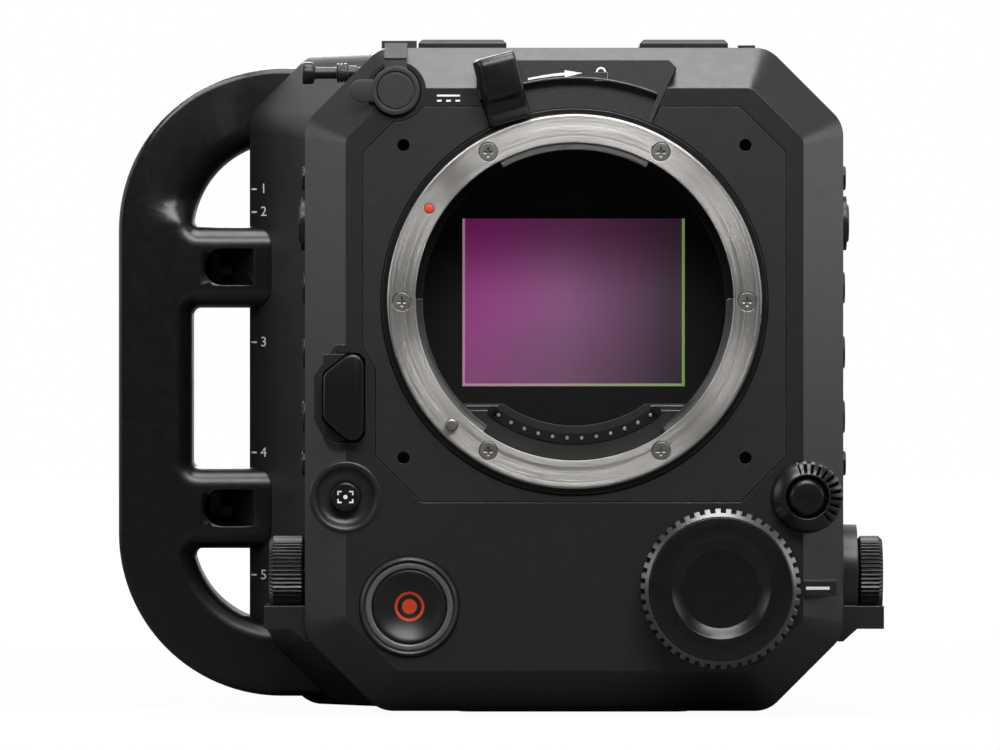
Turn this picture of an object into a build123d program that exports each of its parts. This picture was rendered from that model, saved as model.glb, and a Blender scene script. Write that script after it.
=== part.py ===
from build123d import *
import math
import os

# Box-shaped cinema camera body with a side handle, seen from its lens mount.
# Millimetres. X to the right as one faces the lens mount, Z up, the mount looks along -Y.
# The origin is the mouth of the tripod thread in the middle of the base plate's underside.
# A depth is measured straight back from the flat front face.
# Places on the front are measured from the lens axis, from the plate around the lens mount
# and from the body's edges, so the body is as large as the mount and its borders make it.

# Body block
front_y = -60.0
body_bottom = 1.0
body_d = 112.0
side_border = 11.9
top_border = 12.2
lower_panel_h = 42.9
front_bevel = 8.5
corner_cut = 15.4
corner_r = 6.5
face_corner_r = 2.5
inner_corner_r = 4.5
shell_d = 30.0
front_wall = 8.0
side_wall = 4.0
rear_wall = 4.0
rear_chamfer = 2.0

# Flared connector side
flare_w = 12.4
flare_d = 17.0
flare_cut = 12.6

# Clearances, and how far a cut or a joined piece runs past a face
seam = 0.15
part_gap = 0.3
slide_gap = 0.1
shaft_gap = 0.05
lap = 1.0

# Lens mount
flange_proud = 1.6
throat_r = 32.5
throat_relief = 0.4
ring_w = 5.7
ring_back = 4.3
ring_edge = 0.3
claw_reach = 1.5
claw_root = 0.5
claw_front = 0.6
claw_t = 1.8
claw_sweep = 56.0
top_claw_start = 62.0
side_claw_start = 1.0
claw_stop_start = 179.0
mount_screw_out = 2.7
mount_screw_count = 6
mount_screw_r = 1.0
mount_screw_head_r = 1.85
mount_screw_head_t = 1.2
mount_screw_sink = 0.1
mount_screw_len = 6.5
mount_screw_tip_gap = 1.2
cross_len = 1.9
cross_w = 0.5
cross_depth = 0.6
index_dot_r = 1.05
index_dot_t = 0.4
index_dot_angle = 147.5
flange_to_sensor = 26.7

# Lock ring and lever
lock_ring_w = 1.2
lock_ring_proud = 0.4
lock_ring_gap = 0.2
lock_flange_w = 0.8
lock_flange_t = 1.2
lock_travel = 36.0
lever_angle = 110.0
lever_lean = 15.0
lever_out = 0.9
lever_w = 9.0
lever_len = 14.0
lever_t = 5.0
lever_corner = 1.4
lever_step_t = 2.6
lever_step_len = 5.4
lever_flank_w = 1.6
lever_flank_t = 4.0
lever_foot_t = 1.6
lever_foot_inset = 1.0
track_w = 6.1
track_depth = 1.9
track_margin = 6.0

# Front plates
plate_t = 2.5
plate_side_margin = 3.9
plate_top_margin = 0.5
plate_low_margin = 1.6
plate_cut = 9.4
plate_jog = 2.6
plate_jog_top = 9.1
plate_jog_bottom = 13.9
plate_corner_r = 1.2
front_hole_inset_x = 8.4
front_hole_inset_z = 8.0
front_hole_r = 1.25
front_hole_depth = 6.5
lock_plate_left = 19.9
lock_plate_right = 20.9
lock_plate_border = 3.9
lock_plate_lip = 1.0
lock_plate_cut = 1.6
lock_plate_corner_r = 0.4
lock_plate_start_angle = 5.2
lock_plate_end_angle = 7.5
lock_plate_inset = 4.0

# Light path
light_box_gap = 0.3
light_box_wall = 1.2
light_box_flange_w = 4.8
light_box_flange_t = 1.4
light_box_end = 20.0
light_box_plate_t = 1.5
window_w = 45.9
window_h = 34.6
filter_w = 54.0
filter_h = 44.0
cover_glass_w = 50.0
cover_glass_h = 40.0
cover_glass_t = 0.8
sensor_w = 54.0
sensor_h = 44.0
sensor_t = 2.4
sensor_board_w = 66.0
sensor_board_h = 56.0
board_t = 1.6

# Lens contacts
contact_gap = 0.2
contact_w = 6.9
contact_front = 1.5
contact_drop = 20.9
contact_count = 12
contact_pin_inset = 4.4
contact_pin_r = 0.35
contact_pin_half_angle = 33.8
contact_pin_proud = 0.6
contact_pin_seat = 1.0

# Lens lock pin and its release button
pin_angle = 225.2
pin_out = 3.0
pin_r = 1.2
pin_tip_r = 0.4
pin_proud = 1.2
pin_collar_r = 2.4
pin_collar_t = 1.2
pin_collar_gap = 0.8
release_inset = 8.1
release_drop = 19.6
release_w = 8.2
release_h = 17.6
release_cut = 2.0
release_corner_r = 0.6
release_edge = 0.5
release_border = 2.0
release_proud = 2.5
release_travel = 2.2
release_post_w = 4.0
release_post_h = 10.0
release_rim = 2.6
link_t = 1.2
link_w = 5.0

# Round front controls
keeper_w = 1.0
keeper_t = 1.0
press_travel = 0.8
rec_inset = 21.5
rec_drop = 21.3
rec_bezel_r = 10.2
rec_bezel_proud = 0.9
rec_bezel_seat = 3.0
rec_bezel_edge = 0.6
rec_r = 7.55
rec_edge = 0.5
rec_proud = 0.3
rec_neck_r = 5.55
grab_inset = 8.45
grab_rise = 1.1
grab_boss_r = 7.5
grab_dish_r = 6.2
grab_r = 3.05
grab_edge = 0.6
grab_proud = 0.4
grab_dish_depth = 1.4
small_dial_inset = 7.8
small_dial_rise = 1.1
small_dial_r = 7.35
small_dial_proud = 3.8
small_dial_web = 1.4
small_dial_keeper_w = 0.5
small_dial_notches = 12
small_dial_notch_r = 0.8
small_button_r = 4.0
small_button_t = 1.6
small_button_proud = 0.2
small_button_edge = 0.4
small_stem_r = 1.5
small_stem_len = 2.5
filter_dial_inset = 25.5
filter_dial_drop = 17.5
filter_dial_r = 16.3
filter_dial_t = 8.6
filter_dial_edge = 0.7
filter_dial_rim_t = 1.2
filter_dial_teeth = 46
filter_tooth_depth = 0.9
filter_dish_r = 10.2
filter_dish_floor_r = 8.6
filter_dish_depth = 3.6
dial_shaft_r = 3.0
dial_collar_t = 1.2
index_plate_gap = 0.9
index_plate_w = 6.7
index_plate_h = 3.05
index_plate_proud = 0.2

# Side controls
side_control_d = 19.2
wheel_rise = 27.8
wheel_r = 7.95
wheel_t = 5.0
wheel_edge = 0.8
wheel_boss_r = 10.3
wheel_boss_t = 3.05
wheel_shaft_r = 2.5
left_wheel_t = 7.2
guard_out = 8.4
guard_step = 2.9
guard_gap = 6.3
guard_h = 4.7
guard_root_h = 7.3
guard_front = 9.6
button_wall_gap = 0.3
button_flange_t = 0.8
button_flange_w = 0.8
side_button_rises = [25.6, 16.3, 3.0, -10.3, -23.6, -33.2]
side_button_radii = [2.5, 3.9, 3.3, 3.4, 3.4, 2.55]
side_button_prouds = [0.9, 1.5, 0.7, 0.7, 0.7, 0.9]
button_edge = 0.4
button_bezel_w = 1.7
button_bezel_t = 1.0

# Direct-current outlet and its cap
outlet_inset = 18.7
outlet_drop = 9.1
outlet_boss_r = 6.2
outlet_pocket_r = 5.25
outlet_r = 4.9
outlet_bore_r = 2.6
outlet_pin_r = 0.8
outlet_floor_t = 1.0
outlet_front = 1.8
cap_r = 5.0
cap_proud = 1.2
cap_plug_r = 2.4
cap_plug_len = 1.6
tab_len = 9.4
tab_h = 4.6
tab_t = 0.9
strap_w = 4.6
strap_t = 0.9
strap_lug_h = 1.6
strap_bend = 0.4
strap_foot_len = 5.0
strap_bar_w = 7.2
strap_bar_len = 3.0
strap_bar_t = 1.5
strap_bar_shift = 0.6
strap_peg_r = 1.0
strap_peg_len = 2.5
strap_peg_inset = 3.0

# Handle
handle_reach = 27.2
handle_front = 40.5
handle_d = 21.0
handle_top_drop = 2.8
handle_bottom_rise = 1.9
handle_corner_r = 34.0
handle_root_in = 6.0
handle_edge = 1.2
grip_w = 15.2
grip_inner_edge = 4.4
arm_h = 16.9
arm_rises = [91.5, 41.15]
arm_corner_r = 1.5
pocket_h = 7.7
pocket_far = 9.4
pocket_depth = 15.0
pocket_web = 3.6
handle_screw_r = 2.0
handle_screw_head_r = 3.4
handle_screw_head_t = 2.6
handle_screw_socket_r = 1.3
handle_screw_socket_d = 1.6
handle_screw_len = 7.2

# Top fittings
pad_w = 18.3
pad_h = 2.6
pad_x = 23.0
pad_front = 32.0
pad_rear_margin = 6.0
pad_edge = 0.8
pad_hole_inset = 12.0
pad_hole_r = 2.55
stop_w = 3.5
stop_gap = 2.3
stop_h = 1.6
stop_d = 40.0
stop_len = 5.0
hook_d = 20.0
hook_drop = 4.8
hook_len = 11.4
hook_r = 1.25
hook_head_r = 2.3
hook_head_t = 2.6
hook_edge = 0.5
hook_neck = 2.4
hook_collar_r = 2.0
hook_collar_t = 3.0
hook_seat = 5.0

# Base plate
base_w = 47.4
base_len = 58.0
base_t = 3.4
base_corner_r = 3.0
base_boss_wall = 1.5
tripod_r = 4.0
tripod_depth = 12.0
tripod_boss_r = 9.0
small_thread_r = 2.55
small_thread_out = 18.0
small_thread_depth = 9.0
small_boss_r = 5.0

# Inner frame, boards, heat sink and fan
frame_plate_front = 33.0
frame_plate_t = 3.0
frame_post_r = 3.0
top_post_x = 30.0
top_post_drop = 11.0
low_post_x = 9.0
low_post_rise = 13.0
rail_margin = 4.0
top_rail_drop = 19.0
low_rail_rise = 23.0
main_board_w = 72.0
main_board_h = 90.0
main_board_rise = 69.0
main_board_front = 44.0
standoff_r = 2.5
standoff_inset = 3.5
sink_w = 44.0
sink_base_t = 3.0
sink_h = 12.0
fin_count = 9
fin_t = 1.4
fan_frame_t = 12.0
fan_web_t = 1.5
fan_bore_r = 20.0
fan_blade_gap = 1.0
fan_blade_root = 1.0
fan_hub_r = 8.0
fan_hub_t = 7.0
fan_blades = 7
fan_blade_t = 1.4
fan_shaft_r = 1.5
fan_spoke_w = 4.0

# Battery, its bay and the two doors
battery_w = 54.0
battery_h = 24.0
battery_d = 42.0
battery_edge = 2.0
battery_rise = 31.0
battery_gap = 0.3
bay_wall = 1.5
door_t = 2.0
door_gap = 0.3
door_pin_r = 0.6
door_pin_len = 1.4
battery_door_w = 62.0
battery_door_h = 34.0
card_door_d = 60.0
card_door_w = 38.0
card_door_h = 46.0
card_door_drop = 22.9
card_slot_shifts = [-8.0, 8.0]
card_slot_widths = [3.9, 2.4]
card_slot_heights = [30.0, 25.0]

# Connectors and side displays
jack_d = 66.2
jack_r = 3.6
jack_bore_r = 1.8
jack_proud = 0.4
jack_len = 10.0
jack_rises = [24.7, 15.1, -8.1]
port_d = 72.0
port_floor_t = 1.0
network_drop = 24.9
network_w = 16.0
network_h = 13.6
network_hole_w = 12.0
network_hole_h = 8.2
network_len = 14.0
network_hole_len = 11.0
usb_rise = 26.8
usb_w = 9.6
usb_h = 3.9
usb_wall = 0.6
usb_len = 8.0
usb_tongue_w = 6.6
usb_tongue_t = 0.7
video_x = 24.0
video_drop = 19.0
video_r = 4.8
video_bore_r = 3.4
video_len = 10.0
video_flange_r = 7.0
video_flange_t = 1.5
video_pin_r = 0.7
video_pin_len = 7.0
display_t = 1.6
left_display_w = 32.0
left_display_h = 44.0
left_display_rise = 7.1
left_display_margin = 7.0
right_display_w = 32.0
right_display_h = 30.0
right_display_margin = 2.1
vent_slots = 7
vent_pitch = 6.0
vent_w = 3.0
vent_h = 26.0
cover_screw_r = 1.25
cover_screw_head_r = 2.2
cover_screw_head_t = 1.4
cover_screw_len = 4.0
cover_screw_margin = 8.0
cover_screw_low = 21.0
cover_screw_middle = 59.0
cover_screw_top = 19.0
cover_margin = 13.2

# Derived sizes of the mount and its plates
ring_r = throat_r + ring_w
claw_r = throat_r - claw_reach
mount_screw_circle = throat_r + mount_screw_out
pin_circle = throat_r + pin_out
lock_ring_r = ring_r + lock_ring_w
lock_flange_r = lock_ring_r + lock_flange_w
track_r = lock_ring_r + track_w
light_box_r = throat_r - light_box_gap
light_box_flange_r = light_box_r + light_box_flange_w
contact_outer_r = throat_r - contact_gap
contact_inner_r = contact_outer_r - contact_w
contact_circle = contact_outer_r - contact_pin_inset
plate_half_w = lock_ring_r + plate_side_margin
plate_low_left = plate_half_w - plate_jog
plate_top = lock_ring_r + plate_top_margin
plate_bottom = lock_ring_r + plate_low_margin
lock_plate_top = track_r + lock_plate_border
front_hole_dx = 2 * (plate_half_w - front_hole_inset_x)
front_hole_dz = 2 * (plate_top - front_hole_inset_z)

# Derived sizes of the body
body_half_w = plate_half_w + side_border
plate_low_z = body_bottom + lower_panel_h
axis_z = plate_low_z + plate_bottom
body_top = axis_z + plate_top + top_border
body_middle = (body_bottom + body_top) / 2
flare_x = body_half_w + flare_w
inner_face = body_half_w - side_wall
rear_front = body_d - rear_wall
split_x = body_half_w - cover_margin
cut_shrink = 2 - math.sqrt(2)
lens_axis = (0, axis_z)

# Derived places of the controls and fittings
release_x = -(body_half_w - release_inset)
release_z = axis_z - release_drop
rec_spot = (-(body_half_w - rec_inset), plate_low_z - rec_drop)
grab_spot = (-(body_half_w - grab_inset), plate_low_z + grab_rise)
small_spot = (body_half_w - small_dial_inset, plate_low_z + small_dial_rise)
filter_spot = (body_half_w - filter_dial_inset, plate_low_z - filter_dial_drop)
index_plate_x = filter_spot[0] + filter_dial_r + index_plate_gap + index_plate_w / 2
wheel_z = body_bottom + wheel_rise
guard_top = wheel_z - guard_gap
guard_bottom = guard_top - guard_h
guard_root = guard_top - guard_root_h
side_button_heights = [axis_z + rise for rise in side_button_rises]
outlet_x = -(body_half_w - outlet_inset)
outlet_z = body_top - outlet_drop
outlet_spot = (outlet_x, outlet_z)
hook_z = body_top - hook_drop
hook_root = -body_half_w + corner_cut - hook_drop
handle_out = flare_x + handle_reach
handle_top = body_top - handle_top_drop
handle_bottom = body_bottom + handle_bottom_rise
handle_axis_d = handle_front + handle_d / 2
arm_heights = [body_bottom + rise for rise in arm_rises]
pad_len = body_d - pad_rear_margin - pad_front
pad_middle_d = pad_front + pad_len / 2
pad_hole_dy = pad_len - 2 * pad_hole_inset
base_depth = -front_y
sensor_front = flange_to_sensor - flange_proud
sensor_board_front = sensor_front + sensor_t
card_door_z = axis_z - card_door_drop
right_display_z = body_top - corner_cut - right_display_margin - right_display_h / 2
battery_z = body_bottom + battery_rise
video_z = body_top - video_drop
cover_screw_d = body_d - cover_screw_margin
cover_screw_heights = [
    body_bottom + cover_screw_low, body_bottom + cover_screw_middle, body_top - cover_screw_top,
]


def at_depth(depth):
    return Plane.XZ.offset(-(front_y + depth))


def body_outline(inset, radius, left=body_half_w, left_cut=corner_cut):
    low = body_bottom + inset
    high = body_top - inset
    right = body_half_w - inset
    west = -(left - inset)
    east_cut = corner_cut - inset * cut_shrink
    west_cut = left_cut - inset * cut_shrink
    with BuildLine() as outline:
        FilletPolyline(
            (west + west_cut, low), (right - east_cut, low),
            (right, low + east_cut), (right, high - east_cut),
            (right - east_cut, high), (west + west_cut, high),
            (west, high - west_cut), (west, low + west_cut),
            radius=radius, close=True,
        )
    make_face(outline.edges())


def disc(front, back, radius, spot, mode=Mode.ADD):
    with BuildSketch(at_depth(front)) as profile:
        with Locations(spot):
            Circle(radius)
    extrude(profile.sketch, amount=front - back, mode=mode)


def ring(front, back, outer, inner, spot, mode=Mode.ADD):
    with BuildSketch(at_depth(front)) as profile:
        with Locations(spot):
            Circle(outer)
            Circle(inner, mode=Mode.SUBTRACT)
    extrude(profile.sketch, amount=front - back, mode=mode)


def block(front, back, width, height, spot, mode=Mode.ADD):
    with BuildSketch(at_depth(front)) as profile:
        with Locations(spot):
            Rectangle(width, height)
    extrude(profile.sketch, amount=front - back, mode=mode)


def side_disc(start, end, radius, depth, height, mode=Mode.ADD):
    with BuildSketch(Plane.YZ.offset(start)) as profile:
        with Locations((front_y + depth, height)):
            Circle(radius)
    extrude(profile.sketch, amount=end - start, mode=mode)


def side_block(start, end, length, tall, depth, height, mode=Mode.ADD):
    with BuildSketch(Plane.YZ.offset(start)) as profile:
        with Locations((front_y + depth, height)):
            Rectangle(length, tall)
    extrude(profile.sketch, amount=end - start, mode=mode)


def up_disc(low, high, radius, x, depth, mode=Mode.ADD):
    with BuildSketch(Plane.XY.offset(low)) as profile:
        with Locations((x, front_y + depth)):
            Circle(radius)
    extrude(profile.sketch, amount=high - low, mode=mode)


def up_block(low, high, width, length, x, depth, mode=Mode.ADD):
    with BuildSketch(Plane.XY.offset(low)) as profile:
        with Locations((x, front_y + depth)):
            Rectangle(width, length)
    extrude(profile.sketch, amount=high - low, mode=mode)


def front_edge(part):
    return part.edges().sort_by(Axis.Y)[0]


def front_face_edges(part):
    return part.faces().sort_by(Axis.Y)[0].edges()


def sector(outer, inner, start, sweep):
    with BuildLine() as outline:
        far = CenterArc(lens_axis, outer, start, sweep)
        near = CenterArc(lens_axis, inner, start, sweep)
        Line(far @ 0, near @ 0)
        Line(far @ 1, near @ 1)
    make_face(outline.edges())


def on_mount(radius, angle):
    turn = math.radians(angle)
    return (radius * math.cos(turn), axis_z + radius * math.sin(turn))


def mount_plate_outline():
    top = axis_z + plate_top
    low = plate_low_z
    with BuildLine() as outline:
        FilletPolyline(
            (-plate_half_w + plate_cut, top), (plate_half_w - plate_cut, top),
            (plate_half_w, top - plate_cut), (plate_half_w, low + plate_cut),
            (plate_half_w - plate_cut, low), (-plate_low_left + plate_cut, low),
            (-plate_low_left, low + plate_cut), (-plate_low_left, axis_z - plate_jog_bottom),
            (-plate_half_w, axis_z - plate_jog_top), (-plate_half_w, top - plate_cut),
            radius=plate_corner_r, close=True,
        )
    make_face(outline.edges())
    with Locations(outlet_spot):
        Circle(outlet_boss_r, mode=Mode.SUBTRACT)


def lock_plate_outline():
    top = axis_z + lock_plate_top
    end_angle = lever_angle - lock_travel - lock_plate_end_angle
    start_angle = lever_angle + lock_plate_start_angle
    right_high = on_mount(track_r + lock_plate_lip, end_angle)
    right_low = on_mount(lock_ring_r, end_angle)
    left_high = on_mount(track_r + lock_plate_lip, start_angle)
    left_low = on_mount(lock_ring_r, start_angle)
    with BuildLine() as outline:
        FilletPolyline(
            (-lock_plate_left, top), (lock_plate_right - lock_plate_cut, top),
            (lock_plate_right, top - lock_plate_cut), right_high, right_low,
            (0, axis_z + lock_ring_r - lock_plate_inset), left_low, left_high,
            (-lock_plate_left, left_high[1] + lock_plate_lip),
            radius=lock_plate_corner_r, close=True,
        )
    make_face(outline.edges())


# The button's outline is a tall octagon with larger cuts on its outer side
def release_outline(grow):
    half_w = release_w / 2 + grow
    half_h = release_h / 2 + grow
    cut = release_cut + grow * cut_shrink
    small = 0.6 * cut
    large = 2 * cut - small
    with BuildLine() as outline:
        FilletPolyline(
            (release_x - half_w + cut, release_z - half_h),
            (release_x + half_w - small, release_z - half_h),
            (release_x + half_w, release_z - half_h + small),
            (release_x + half_w, release_z + half_h - small),
            (release_x + half_w - small, release_z + half_h),
            (release_x - half_w + large, release_z + half_h),
            (release_x - half_w, release_z + half_h - 2 * cut),
            (release_x - half_w, release_z - half_h + 2 * cut),
            radius=release_corner_r, close=True,
        )
    make_face(outline.edges())


def wheel_guard(side):
    face = side * body_half_w
    root = face - side * lap
    out = face + side * guard_out
    with BuildSketch(at_depth(guard_front)) as profile:
        with BuildLine():
            Polyline(
                (root, guard_top), (out, guard_top), (out, guard_bottom),
                (face + side * guard_step, guard_bottom), (face, guard_root), (root, guard_root),
                close=True,
            )
        make_face()
    extrude(profile.sketch, amount=guard_front - shell_d + part_gap)


# Body envelope behind the front shell, used for the covers and for seating the handle
def envelope(inset):
    with BuildPart() as hull:
        with BuildSketch(at_depth(shell_d)):
            body_outline(inset, corner_r)
        with BuildSketch(at_depth(shell_d + flare_d)):
            body_outline(inset, corner_r, flare_x, flare_cut)
        loft(ruled=True)
        with BuildSketch(at_depth(shell_d + flare_d)):
            body_outline(inset, corner_r, flare_x, flare_cut)
        extrude(amount=shell_d + flare_d - rear_front)
    return hull.part


outer_hull = envelope(0)
inner_hull = envelope(side_wall)
pocket_hull = envelope(-pocket_web)

# Front shell: bevelled casting that carries the lens mount and every front control
with BuildPart() as front_shell:
    with BuildSketch(at_depth(0)):
        body_outline(front_bevel, face_corner_r)
    with BuildSketch(at_depth(front_bevel)):
        body_outline(0, corner_r)
    loft(ruled=True)
    with BuildSketch(at_depth(front_bevel)):
        body_outline(0, corner_r)
    extrude(amount=front_bevel - shell_d)
    disc(0, front_wall, grab_boss_r, grab_spot)
    disc(0, front_wall, small_dial_r, small_spot)
    disc(0, front_wall, outlet_boss_r, outlet_spot)
    with BuildSketch(at_depth(0)):
        release_outline(release_border)
    extrude(amount=-front_wall)
    with BuildSketch(at_depth(plate_t)):
        lock_plate_outline()
    extrude(amount=plate_t - front_wall)
    block(-index_plate_proud, front_wall, index_plate_w, index_plate_h,
          (index_plate_x, filter_spot[1]))
    side_disc(body_half_w - lap, body_half_w + wheel_boss_t, wheel_boss_r, side_control_d, wheel_z)
    for side in (-1, 1):
        wheel_guard(side)
        side_disc(side * (body_half_w - lap), side * (body_half_w + button_bezel_t),
                  side_button_radii[1] + button_bezel_w, side_control_d, side_button_heights[1])
    with BuildSketch(at_depth(front_wall)):
        body_outline(side_wall, inner_corner_r)
    extrude(amount=front_wall - shell_d, mode=Mode.SUBTRACT)
    # Seats of the front plates, the lock ring and the lens mount
    with BuildSketch(at_depth(0)):
        mount_plate_outline()
    extrude(amount=-plate_t, mode=Mode.SUBTRACT)
    with BuildSketch(at_depth(0)):
        lock_plate_outline()
    extrude(amount=-plate_t, mode=Mode.SUBTRACT)
    disc(0, ring_back, lock_flange_r + part_gap, lens_axis, Mode.SUBTRACT)
    disc(ring_back, front_wall, throat_r + throat_relief, lens_axis, Mode.SUBTRACT)
    with BuildSketch(at_depth(0)):
        with Locations(lens_axis):
            with GridLocations(front_hole_dx, front_hole_dz, 2, 2):
                Circle(front_hole_r)
    extrude(amount=-front_hole_depth, mode=Mode.SUBTRACT)
    screw_seat = -flange_proud + mount_screw_head_t + mount_screw_sink
    with BuildSketch(at_depth(ring_back)):
        with Locations(lens_axis):
            with PolarLocations(mount_screw_circle, mount_screw_count):
                Circle(mount_screw_r + shaft_gap)
    extrude(amount=ring_back - screw_seat - mount_screw_len - mount_screw_tip_gap,
            mode=Mode.SUBTRACT)
    pin_spot = on_mount(pin_circle, pin_angle)
    disc(0, front_wall, pin_r + slide_gap, pin_spot, Mode.SUBTRACT)
    # Wells of the front controls
    with BuildSketch(at_depth(0)):
        release_outline(part_gap)
    extrude(amount=-(release_rim + release_travel + part_gap), mode=Mode.SUBTRACT)
    block(0, front_wall, release_post_w + 2 * slide_gap, release_post_h + 2 * slide_gap,
          (release_x, release_z), Mode.SUBTRACT)
    disc(0, rec_bezel_seat, rec_bezel_r + seam, rec_spot, Mode.SUBTRACT)
    disc(0, front_wall, rec_neck_r + slide_gap, rec_spot, Mode.SUBTRACT)
    disc(0, grab_dish_depth, grab_dish_r, grab_spot, Mode.SUBTRACT)
    disc(0, front_wall, grab_r + slide_gap, grab_spot, Mode.SUBTRACT)
    disc(0, front_wall, dial_shaft_r + shaft_gap, small_spot, Mode.SUBTRACT)
    disc(0, front_wall, dial_shaft_r + shaft_gap, filter_spot, Mode.SUBTRACT)
    disc(0, outlet_front, outlet_pocket_r, outlet_spot, Mode.SUBTRACT)
    disc(0, front_wall, outlet_r + shaft_gap, outlet_spot, Mode.SUBTRACT)
    # Holes of the side controls
    for side, boss in ((-1, slide_gap), (1, wheel_boss_t)):
        inside = side * (inner_face - lap)
        for height, radius in zip(side_button_heights, side_button_radii):
            side_disc(side * (body_half_w + button_bezel_t + lap), inside, radius + slide_gap,
                      side_control_d, height, Mode.SUBTRACT)
        side_disc(side * (body_half_w + wheel_boss_t + lap), inside, wheel_shaft_r + shaft_gap,
                  side_control_d, wheel_z, Mode.SUBTRACT)
        side_disc(side * (body_half_w + boss), side * (body_half_w + guard_out + lap),
                  wheel_r + part_gap, side_control_d, wheel_z, Mode.SUBTRACT)
    # Seats of the tape hook and of the cap strap
    side_disc(-body_half_w, hook_root + hook_seat, hook_r + shaft_gap, hook_d, hook_z,
              Mode.SUBTRACT)
    up_disc(body_top - strap_peg_len - part_gap, body_top, strap_peg_r + shaft_gap,
            outlet_x, front_bevel + strap_peg_inset, Mode.SUBTRACT)

# Plate around the lens mount
with BuildPart() as mount_plate:
    with BuildSketch(at_depth(0)):
        mount_plate_outline()
        offset(amount=-seam)
    extrude(amount=-plate_t)
    with BuildSketch(at_depth(0)):
        lock_plate_outline()
        offset(amount=seam)
    extrude(amount=-plate_t, mode=Mode.SUBTRACT)
    disc(0, plate_t, lock_ring_r + lock_ring_gap, lens_axis, Mode.SUBTRACT)
    with BuildSketch(at_depth(0)):
        with Locations(lens_axis):
            with GridLocations(front_hole_dx, front_hole_dz, 2, 2):
                Circle(front_hole_r)
    extrude(amount=-plate_t, mode=Mode.SUBTRACT)

# Plate under the lock lever, with the curved track its foot runs in
with BuildPart() as lock_plate:
    with BuildSketch(at_depth(0)):
        lock_plate_outline()
        offset(amount=-seam)
    extrude(amount=-plate_t)
    disc(0, plate_t, lock_ring_r + lock_ring_gap, lens_axis, Mode.SUBTRACT)
    with BuildSketch(at_depth(0)):
        sector(track_r, lock_ring_r - lap, lever_angle - lock_travel - track_margin,
               lock_travel + 2 * track_margin)
    extrude(amount=-track_depth, mode=Mode.SUBTRACT)

# Metal mount ring with three bayonet claws
with BuildPart() as mount_ring:
    ring(-flange_proud, ring_back, ring_r, throat_r, lens_axis)
    for start in (top_claw_start, side_claw_start - claw_sweep, claw_stop_start):
        with BuildSketch(at_depth(-flange_proud + claw_front)):
            sector(throat_r + claw_root, claw_r, start, claw_sweep)
        extrude(amount=-claw_t)
    with BuildSketch(at_depth(-flange_proud)):
        with Locations(lens_axis):
            with PolarLocations(mount_screw_circle, mount_screw_count):
                Circle(mount_screw_head_r + seam)
    extrude(amount=-(mount_screw_head_t + mount_screw_sink), mode=Mode.SUBTRACT)
    with BuildSketch(at_depth(-flange_proud)):
        with Locations(lens_axis):
            with PolarLocations(mount_screw_circle, mount_screw_count):
                Circle(mount_screw_r + shaft_gap)
    extrude(amount=-(flange_proud + ring_back), mode=Mode.SUBTRACT)
    disc(-flange_proud, ring_back, pin_r + slide_gap, pin_spot, Mode.SUBTRACT)
    disc(-flange_proud, -flange_proud + index_dot_t, index_dot_r,
         on_mount(mount_screw_circle, index_dot_angle), Mode.SUBTRACT)
    chamfer(mount_ring.faces().sort_by(Axis.Y)[0].outer_wire().edges(), ring_edge)

with BuildPart() as mount_screws:
    head_top = screw_seat - mount_screw_head_t
    for turn in range(mount_screw_count):
        spot = on_mount(mount_screw_circle, turn * 360 / mount_screw_count)
        disc(head_top, screw_seat, mount_screw_head_r, spot)
        disc(screw_seat, screw_seat + mount_screw_len, mount_screw_r, spot)
        block(head_top, head_top + cross_depth, cross_len, cross_w, spot, Mode.SUBTRACT)
        block(head_top, head_top + cross_depth, cross_w, cross_len, spot, Mode.SUBTRACT)

# Lock ring and the lever that turns it
with BuildPart() as lock_ring:
    flange_front = plate_t + part_gap
    ring(-lock_ring_proud, flange_front, lock_ring_r, ring_r + shaft_gap, lens_axis)
    ring(flange_front, flange_front + lock_flange_t, lock_flange_r, ring_r + shaft_gap, lens_axis)

lever_base = on_mount(ring_r + lever_out, lever_angle)
lean = math.radians(lever_lean)
lever_plane = Plane(
    origin=(lever_base[0], front_y, lever_base[1]),
    x_dir=(math.cos(lean), 0, math.sin(lean)),
    z_dir=(0, -1, 0),
)
with BuildPart() as lock_lever:
    with BuildSketch(lever_plane.offset(lock_ring_proud)):
        with Locations((0, lever_len / 2)):
            Rectangle(lever_w, lever_len)
    extrude(amount=lever_t)
    chamfer(lock_lever.edges().filter_by(Axis.Y).sort_by(Axis.Z)[-2:], lever_corner)
    chamfer(
        front_face_edges(lock_lever).sort_by(Axis.X)[0],
        length=lever_flank_w, length2=lever_flank_t,
    )
    with BuildSketch(lever_plane.offset(lock_ring_proud + lever_step_t)):
        with Locations((0, lever_step_len / 2)):
            Rectangle(2 * lever_w, lever_step_len)
    extrude(amount=lever_t, mode=Mode.SUBTRACT)
    foot_low = lock_flange_r + part_gap
    foot_high = track_r - part_gap
    with BuildSketch(at_depth(-lock_ring_proud)):
        half_turn = math.degrees((lever_w / 2 - lever_foot_inset) / foot_high)
        sector(foot_high, foot_low, lever_angle - half_turn, 2 * half_turn)
    extrude(amount=-(lock_ring_proud + lever_foot_t))

# Light path from the mount to the sensor
filter_front = light_box_end + light_box_plate_t
glass_front = sensor_front - cover_glass_t
with BuildPart() as light_box:
    inner_r = light_box_r - light_box_wall
    ring(front_wall, light_box_end, light_box_r, inner_r, lens_axis)
    ring(front_wall, front_wall + light_box_flange_t, light_box_flange_r, inner_r, lens_axis)
    disc(light_box_end, filter_front, light_box_r, lens_axis)
    block(light_box_end, filter_front, window_w, window_h, lens_axis, Mode.SUBTRACT)
    disc(front_wall, front_wall + light_box_flange_t, pin_collar_r + pin_collar_gap, pin_spot,
         Mode.SUBTRACT)

with BuildPart() as nd_filter:
    block(filter_front, glass_front, filter_w, filter_h, lens_axis)

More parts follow.
